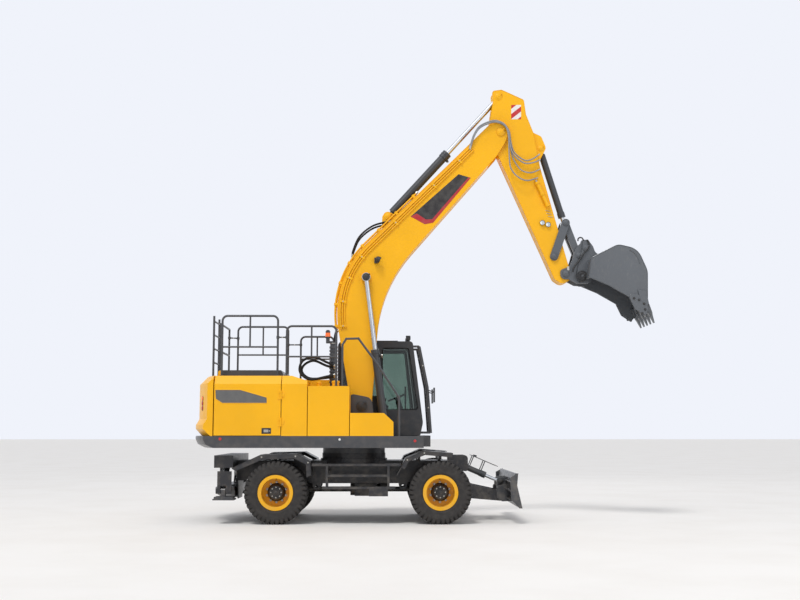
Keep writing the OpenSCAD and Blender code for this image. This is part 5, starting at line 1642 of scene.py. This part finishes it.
@dataclass(frozen=True)
class SoftSeat:
    """The operator's seat, in place of the CAD's plain one: cushion, backrest and headrest."""

    middle_y: float = 825.0
    fill: float = 0.75
    swell_m: float = 0.008
    pressure: float = 4.0
    frames: int = 12
    parts: tuple[Cushion, ...] = (
        Cushion((110, 630), (-240, 240), (1800, 1928)),
        Cushion((75, 205), (-225, 225), (1905, 2480), -0.17),
        Cushion((28, 118), (-140, 140), (2484, 2640), -0.08),
    )

    def build(self) -> None:
        merged = bmesh.new()
        for part in self.parts:
            part.add(merged, self.middle_y)
        data = bpy.data.meshes.new("soft_seat")
        merged.to_mesh(data)
        merged.free()
        data.materials.append(Finish.SEAT.material())
        seat = new_object("soft_seat", data)
        self._inflate(seat)
        for polygon in seat.data.polygons:
            polygon.use_smooth = True
        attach(seat, "upper")
        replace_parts(seat, "operator_seat")
        log.info("piece soft_seat on upper: %d faces", len(seat.data.polygons))

    def _inflate(self, seat: bpy.types.Object) -> None:
        """Lets the cover swell under pressure, and caps how far a point may move.

        Args:
            seat: The seat.
        """
        before = [v.co.copy() for v in seat.data.vertices]
        cloth = seat.modifiers.new("cover", "CLOTH")
        cloth.settings.use_pressure = True
        cloth.settings.uniform_pressure_force = self.pressure
        cloth.settings.effector_weights.gravity = 0.0
        scene = bpy.context.scene
        for number in range(1, self.frames + 1):
            scene.frame_set(number)
        graph = bpy.context.evaluated_depsgraph_get()
        swollen = seat.evaluated_get(graph).to_mesh()
        after = [v.co.copy() for v in swollen.vertices]
        seat.evaluated_get(graph).to_mesh_clear()
        seat.modifiers.clear()
        for vertex, start, end in zip(seat.data.vertices, before, after):
            shift = end - start
            if shift.length > self.swell_m:
                shift = shift.normalized() * self.swell_m
            vertex.co = start + shift
        scene.frame_set(1)


# Undercarriage


@dataclass(frozen=True)
class Arch:
    """A mudguard's outer lip: the axle it bends about, its upper edge and its depth."""

    axle: Axle
    top: tuple[Flat, ...]
    depth: float


@dataclass(frozen=True)
class MudguardLips:
    """The deep outer lips of the mudguards, towards each axle, with their bolts."""

    outer_y: float = 1229.0
    thick: float = 6.0
    axle_z: float = 530.0
    arches: tuple[Arch, ...] = (
        Arch(
            Axle.REAR,
            ((-2038.0, 932.0), (-1550.0, 1160.0), (-945.0, 1173.0), (-722.0, 1059.0), (-700.0, 822.0)),
            78.0,
        ),
        Arch(Axle.FRONT, ((840.0, 958.0), (920.0, 1102.0), (1219.0, 1224.0), (1720.0, 1186.0)), 66.0),
    )

    def _inward(self, arch: Arch, spot: Flat, depth: float) -> Flat:
        """Moves a point of the upper edge towards the axle.

        Args:
            arch: The lip.
            spot: The point.
            depth: How far, in millimetres.

        Returns:
            The moved point.
        """
        here = Vector(spot)
        moved = here + (Vector((arch.axle.value, self.axle_z)) - here).normalized() * depth
        return (moved.x, moved.y)

    def build(self) -> None:
        """Makes the lips."""
        piece = Piece("mudguard_lips", "chassis", "frame_paint")
        for arch in self.arches:
            low = [self._inward(arch, spot, arch.depth) for spot in arch.top]
            outline = list(arch.top) + low[::-1]
            for way in BOTH:
                plate = [at(x, way * self.outer_y, z) for x, z in outline]
                # The lips take the frame's grey darkened as painted shade of the underside
                piece.plate(plate, Y_AXIS * way, self.thick, Finish.CHASSIS)
                for spot in arch.top[1:-1]:
                    x, z = self._inward(arch, spot, arch.depth * 0.45)
                    piece.bolt(at(x, way * (self.outer_y + self.thick), z), Y_AXIS * way, 19)
        piece.done()


# Welds and cylinder heads


@dataclass(frozen=True)
class WeldBeads:
    """Fillet beads along the sharp outer edges of a welded box, found on the CAD mesh itself."""

    node: str
    body: str
    half_width: float
    radius: float = 5.0
    finish: Finish = Finish.YELLOW
    slot: str = "body_yellow"
    least_angle: float = 60.0
    least_run_m: float = 0.25
    flat_m: float = 2e-4

    def _edges(self) -> tuple[dict[int, list[int]], dict[int, Vector]]:
        """Finds the sharp edges that lie in the side planes.

        Returns:
            The neighbours of each vertex along those edges, and the place of every vertex.
        """
        node = frame["nodes"][self.node]
        source = bmesh.new()
        source.from_mesh(node.data)
        bmesh.ops.remove_doubles(source, verts=source.verts, dist=1e-5)
        spots = {v.index: node.matrix_world @ v.co for v in source.verts}
        near: dict[int, list[int]] = {}
        for edge in source.edges:
            a, b = (spots[v.index] for v in edge.verts)
            if abs(abs(a.y) - self.half_width * MM) > self.flat_m or abs(a.y - b.y) > self.flat_m:
                continue
            if len(edge.link_faces) == 2 and edge.calc_face_angle(0.0) > math.radians(self.least_angle):
                for one, other in (edge.verts, reversed(edge.verts)):
                    near.setdefault(one.index, []).append(other.index)
        source.free()
        return near, spots

    def _chains(self) -> list[tuple[list[Vector], bool]]:
        """Walks from vertex to vertex until each edge is used.

        Returns:
            The runs that are long enough to show, each with whether it closes on itself.
        """
        near, spots = self._edges()
        chains = []
        while near:
            start = next((k for k, v in near.items() if len(v) == 1), next(iter(near)))
            walk = [start]
            while near.get(walk[-1]):
                here = walk[-1]
                there = near[here].pop()
                near[there].remove(here)
                if not near[here]:
                    del near[here]
                walk.append(there)
            near.pop(walk[-1], None)
            closed = walk[0] == walk[-1]
            points = [spots[k] for k in (walk[:-1] if closed else walk)]
            if path_length(points) > self.least_run_m and len(points) > 2:
                chains.append((points, closed))
        return chains

    def build(self) -> None:
        """Makes the beads as one piece."""
        piece = Piece(f"weld_beads_{self.node}", self.body, self.slot)
        for points, closed in self._chains():
            piece.tube(points, self.radius, self.finish, 6, closed)
        piece.done()


@dataclass(frozen=True)
class Gland:
    """The bolted head at a cylinder's rod end, with its oil port."""

    body: str
    base: Flat
    rod: Flat
    length: float
    radius: float
    rows: tuple[float, ...]
    bolts: int = 8
    port_back_m: float = 0.11

    def build(self) -> None:
        """Makes the head's bolts, its ring and the port."""
        piece = Piece(f"gland_{self.body}", self.body, "barrel_paint")
        way = (at(self.rod[0], 0, self.rod[1]) - at(self.base[0], 0, self.base[1])).normalized()
        across = way.cross(Y_AXIS)
        r = self.radius
        for y in self.rows:
            end = at(self.base[0], y, self.base[1]) + way * self.length * MM
            for k in range(self.bolts):
                a = math.tau * (k + 0.5) / self.bolts
                spot = end + (Y_AXIS * math.cos(a) + across * math.sin(a)) * r * 0.78 * MM
                piece.bolt(spot, way, r * 0.2)
            ring = [(-70, r + 1), (-66, r + 4), (-58, r + 4), (-54, r + 1)]
            piece.lathe(end, way, ring, Finish.BARREL, 40)
            port = end - way * self.port_back_m
            boss = [(r - 12, 26), (r + 22, 26), (r + 24, 22)]
            piece.lathe(port, -across, boss, Finish.BARREL, 20)
            plug = [(r + 20, 19), (r + 38, 19), (r + 40, 15)]
            piece.lathe(port, -across, plug, Finish.ZINC, 6)
        piece.done()


# The welds of the long boxes, and the heads of the cylinders that show best
MACHINE_WORK: tuple[WeldBeads | Gland, ...] = (
    WeldBeads("boom", "boom", 200.0),
    WeldBeads("arm", "arm", 150.0),
    WeldBeads("bucket", "bucket", 580.0, 7.0, Finish.TOOL, "tool_grey"),
    Gland("boom_barrels", (570.0, 1475.0), (213.0, 4349.0), 1560.0, 85.0, (-290.0, 290.0)),
    Gland("arm_barrel", (614.0, 5511.0), (2671.0, 7781.0), 1640.0, 90.0, (0.0,)),
)


# Oil hoses


@dataclass(frozen=True)
class Hose:
    """One rubber hose with crimped ends."""

    name: str
    body: str
    path: tuple[Point, ...]
    diameter: float = 26.0
    partner: str = ""
    span: tuple[Point, Point] | None = None
    slot: str = "frame_paint"
    link: Link | None = None
    finish: Finish = Finish.HOSE

    def _place(self, spot: Point) -> Vector:
        """Gives a point of the path, which may be written in a link's frame."""
        return at(*spot) if self.link is None else self.link.point(*spot)

    def _fitting(self, label: str, body: str, first: Vector, second: Vector) -> bpy.types.Object:
        """Makes the crimped ferrule at one end.

        Args:
            label: The end's word in the piece's name.
            body: The body that holds the end.
            first: The end.
            second: The next point of the hose.

        Returns:
            The new object.
        """
        r = self.diameter / 2
        piece = Piece(f"{self.name}_{label}_fitting", body, self.slot)
        crimp = [(-6, r * 1.25), (18, r * 1.25), (20, r * 1.12), (52, r * 1.12), (54, r * 0.9)]
        piece.lathe(first, (second - first).normalized(), crimp, Finish.ZINC, 16)
        return piece.done()

    def build(self) -> None:
        line = smooth_path([self._place(q) for q in self.path], 10)
        piece = Piece(self.name, self.body, self.slot)
        piece.tube(line, self.diameter / 2, self.finish, 12)
        hose = piece.done(rides=not self.partner)
        fittings = [
            self._fitting("near", self.body, line[0], line[1]),
            self._fitting("far", self.partner or self.body, line[-1], line[-2]),
        ]
        length = path_length(line)
        if self.partner and self.span:
            start, end = (tuple(at(*q)) for q in self.span)
            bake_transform(hose)


@dataclass(frozen=True)
class HoseRuns:
    """Every hose that shows: by the tower, up to the boom, over its nose and at the arm cylinder."""

    tower: tuple[tuple[str, float, float], ...] = (("outer", 0.0, -700.0), ("inner", -62.0, -660.0))
    nose: tuple[Flat, ...] = (
        (2119.0, 6776.0), (2196.0, 7017.0), (2302.0, 7178.0),
        (2479.0, 7270.0), (2630.0, 7288.0), (2769.0, 7218.0),
    )
    fans: tuple[tuple[Flat, ...], ...] = (
        ((2855, 7091), (2882, 6910), (2926, 6730), (3025, 6615), (3161, 6540), (3301, 6578), (3420, 6672)),
        ((2838, 7080), (2862, 6880), (2905, 6690), (3010, 6560), (3150, 6480), (3310, 6500), (3430, 6570)),
        ((2850, 7060), (2865, 6859), (2896, 6680), (2948, 6526), (3072, 6360), (3247, 6310), (3430, 6392)),
        ((2836, 7030), (2845, 6828), (2849, 6628), (2873, 6397), (2995, 6232), (3169, 6157), (3376, 6226)),
    )
    feed_rows: tuple[float, ...] = (-172.0, -128.0, 128.0, 172.0)
    boom_rows: tuple[float, ...] = (-150.0, -112.0, 112.0, 150.0)
    boom_path: tuple[Flat, ...] = (
        (2360.0, 1404.0), (2480.0, 1440.0), (2760.0, 1452.0),
        (3040.0, 1330.0), (3230.0, 1130.0), (3275.0, 1062.0),
    )

    def build(self) -> None:
        """Makes the hoses."""
        self._tower()
        self._arm()
        self._feed()
        self._boom()

    def _label(self, y: float, rows: tuple[float, ...]) -> str:
        """Names a hose by its side and its place in the row.

        Args:
            y: The hose's row.
            rows: All rows.

        Returns:
            The words for its name.
        """
        return f"{'right' if y < 0 else 'left'}_{'outer' if abs(y) == max(rows) else 'inner'}"

    def _tower(self) -> None:
        """Makes the two loops beside the boom's foot."""
        for name, lift, y in self.tower:
            path = (
                (-300.0, y, 2560.0 + lift * 0.4),
                (-470.0, y - 20, 2520.0 + lift * 0.3),
                (-760.0, y - 35, 2470.0 - lift * 0.3),
                (-935.0 - lift * 0.5, y - 30, 2600.0),
                (-900.0 - lift * 0.5, y - 10, 2790.0 + lift),
                (-700.0, y + 10, 2866.0 + lift),
                (-480.0, y + 20, 2780.0 + lift),
                (-300.0, y + 40, 2700.0 + lift * 0.5),
            )
            Hose(f"tower_hose_{name}", "upper", path, 44.0).build()

    def _arm(self) -> None:
        """Makes the four sleeved hoses over the boom's nose, which fan out on the arm's right side."""
        for number, fan in enumerate(self.fans):
            y = -(228.0 + 30.0 * (number % 2))
            drop = 24.0 * (number // 2)
            line = [(x + drop * 0.4, y, z - drop) for x, z in self.nose]
            line += [(x, y - 6, z) for x, z in fan[:-1]]
            line[0] = (line[0][0], -218.0 - 8 * (number % 2), line[0][2])
            line += [(fan[-1][0], -176.0, fan[-1][1])]
            across = ((2479.0, y, 7270.0), (2926.0, y, 6730.0))
            Hose(
                f"arm_hose_{number + 1}",
                "boom",
                tuple(line),
                25.0,
                "arm",
                across,
                "body_yellow",
                finish=Finish.SLEEVE,
            ).build()

    def _feed(self) -> None:
        """Makes the four hoses from the deck up to the boom's pipes."""
        u, v = BoomPipes().line()[0]
        end, toward = BOOM.flat(u, v), BOOM.flat(u - 120, v - 28)
        for y in self.feed_rows:
            path = (
                (-120.0, y * 0.8, 1505.0),
                (-150.0, y * 0.8, 1640.0),
                (-290.0, y * 0.9, 1980.0),
                (-400.0, y, 2380.0),
                (toward[0] - 10, y, toward[1] - 150),
                (toward[0], y, toward[1]),
                (end[0], y, end[1]),
            )
            across = ((-120.0, y, 1640.0), (end[0], y, end[1] - 100))
            name = f"feed_hose_{self._label(y, self.feed_rows)}"
            Hose(name, "upper", path, 32.0, "boom", across).build()

    def _boom(self) -> None:
        """Makes the four hoses from the boom's pipes to the arm cylinder."""
        for y in self.boom_rows:
            path = tuple((u, y, v) for u, v in self.boom_path)
            name = f"boom_hose_{self._label(y, self.boom_rows)}"
            Hose(name, "boom", path, 28.0, slot="body_yellow", link=BOOM).build()


# Stage


@dataclass(frozen=True)
class SoftLamp:
    """A square area lamp: its place and aim in metres, its edge and its power in watts."""

    name: str
    place: Point
    aim: Point
    size: float
    power: float

    def build(self) -> None:
        """Hangs the lamp."""
        lamp = bpy.data.lights.new(self.name, "AREA")
        lamp.size = self.size
        lamp.energy = self.power
        holder = new_object(self.name, lamp)
        holder.location = self.place
        holder.rotation_euler = facing(Vector(self.aim) - Vector(self.place))


@dataclass(frozen=True)
class Stage:
    """Camera, light and floor."""

    camera_place: Point = (-0.721, -20.3, 1.58)
    pitch_deg: float = 96.7
    roll_deg: float = 0.0
    yaw_deg: float = -0.77
    lens_mm: float = 49.95
    sensor_mm: float = 36.0
    far_m: float = 400.0
    floor_m: float = 180.0
    sky_colour: str = "#f0f3fb"
    sky_light: Flat = (0.62, 1.0)
    sun_power: float = 1.15
    sun_width_deg: float = 12.0
    sun_way: Point = (0.25, 0.5, -1.0)
    lamps: tuple[SoftLamp, ...] = (
        SoftLamp("key", (-6.0, -9.0, 16.0), (0.0, 0.0, 2.0), 10.0, 560.0),
        SoftLamp("fill", (9.0, -12.0, 7.0), (1.0, 0.0, 2.5), 8.0, 220.0),
        SoftLamp("back", (2.0, 13.0, 12.0), (0.0, 0.0, 2.0), 10.0, 180.0),
    )

    def build(self) -> None:
        """Makes the stage."""
        scene = bpy.context.scene
        data = bpy.data.cameras.new("photo_camera")
        data.lens = self.lens_mm
        data.sensor_width = self.sensor_mm
        data.clip_end = self.far_m
        camera = new_object("photo_camera", data)
        camera.location = self.camera_place
        camera.rotation_euler = [math.radians(a) for a in (self.pitch_deg, self.roll_deg, self.yaw_deg)]
        scene.camera = camera
        scene.view_settings.view_transform = "Standard"
        self._floor()
        self._sky()
        for lamp in self.lamps:
            lamp.build()
        self._sun()

    def _floor(self) -> None:
        """Lays a pale concrete floor, with faint stains and a fine rough grain."""
        mesh = bpy.data.meshes.new("floor")
        h = self.floor_m
        mesh.from_pydata([(-h, -h, 0), (h, -h, 0), (h, h, 0), (-h, h, 0)], [], [(0, 1, 2, 3)])
        floor = new_object("floor", mesh)
        s = Shader("pale_studio_floor")
        stain = s.ramp(s.noise(1600, 6), 0.4, 0.7, (0.0, 0.22))
        colour = s.mix(stain, "#efece7", "#dcd6cd")
        rough = s.ramp(s.noise(300, 5), 0.3, 0.7, (0.7, 0.9))
        grain = s.bump(s.noise(8, 5), 0.6, 0.3)
        mesh.materials.append(s.close({}, {"Base Color": colour, "Roughness": rough}, grain))

    def _sky(self) -> None:
        """Fills the world with even pale light, stronger where it is seen, mirrored or behind glass."""
        world = bpy.data.worlds.new("studio")
        world.use_nodes = True
        bpy.context.scene.world = world
        nodes, links = world.node_tree.nodes, world.node_tree.links
        back = nodes["Background"]
        back.inputs["Color"].default_value = linear(self.sky_colour)
        path = nodes.new("ShaderNodeLightPath")
        seen = path.outputs["Is Camera Ray"]
        for kind in ("Is Glossy Ray", "Is Transmission Ray"):
            either = nodes.new("ShaderNodeMath")
            either.operation = "MAXIMUM"
            links.new(seen, either.inputs[0])
            links.new(path.outputs[kind], either.inputs[1])
            seen = either.outputs[0]
        strength = nodes.new("ShaderNodeMapRange")
        strength.inputs["To Min"].default_value, strength.inputs["To Max"].default_value = self.sky_light
        links.new(seen, strength.inputs["Value"])
        links.new(strength.outputs[0], back.inputs["Strength"])

    def _sun(self) -> None:
        """Adds a soft sun."""
        sun = bpy.data.lights.new("sun", "SUN")
        sun.energy = self.sun_power
        sun.angle = math.radians(self.sun_width_deg)
        new_object("sun", sun).rotation_euler = facing(Vector(self.sun_way))


def main() -> None:
    """Builds every finish and piece, then the stage."""
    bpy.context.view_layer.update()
    dress_nodes()
    for side in Side:
        for kind in (WheelTrim, TwinTyres):
            for axle in Axle:
                kind(side, axle).build()
    front = (PivotPins(), BoomPipes(), FrontTrim(), BucketTrim(), CouplerTrim())
    house = (BodyTrim(), CabTrim(), SoftSeat(), MudguardLips())
    for part in (*front, *house, *MACHINE_WORK, GuardBars(), HoseRuns(), RailClamps(), Stage()):
        part.build()


if __name__ == "__main__":
    main()
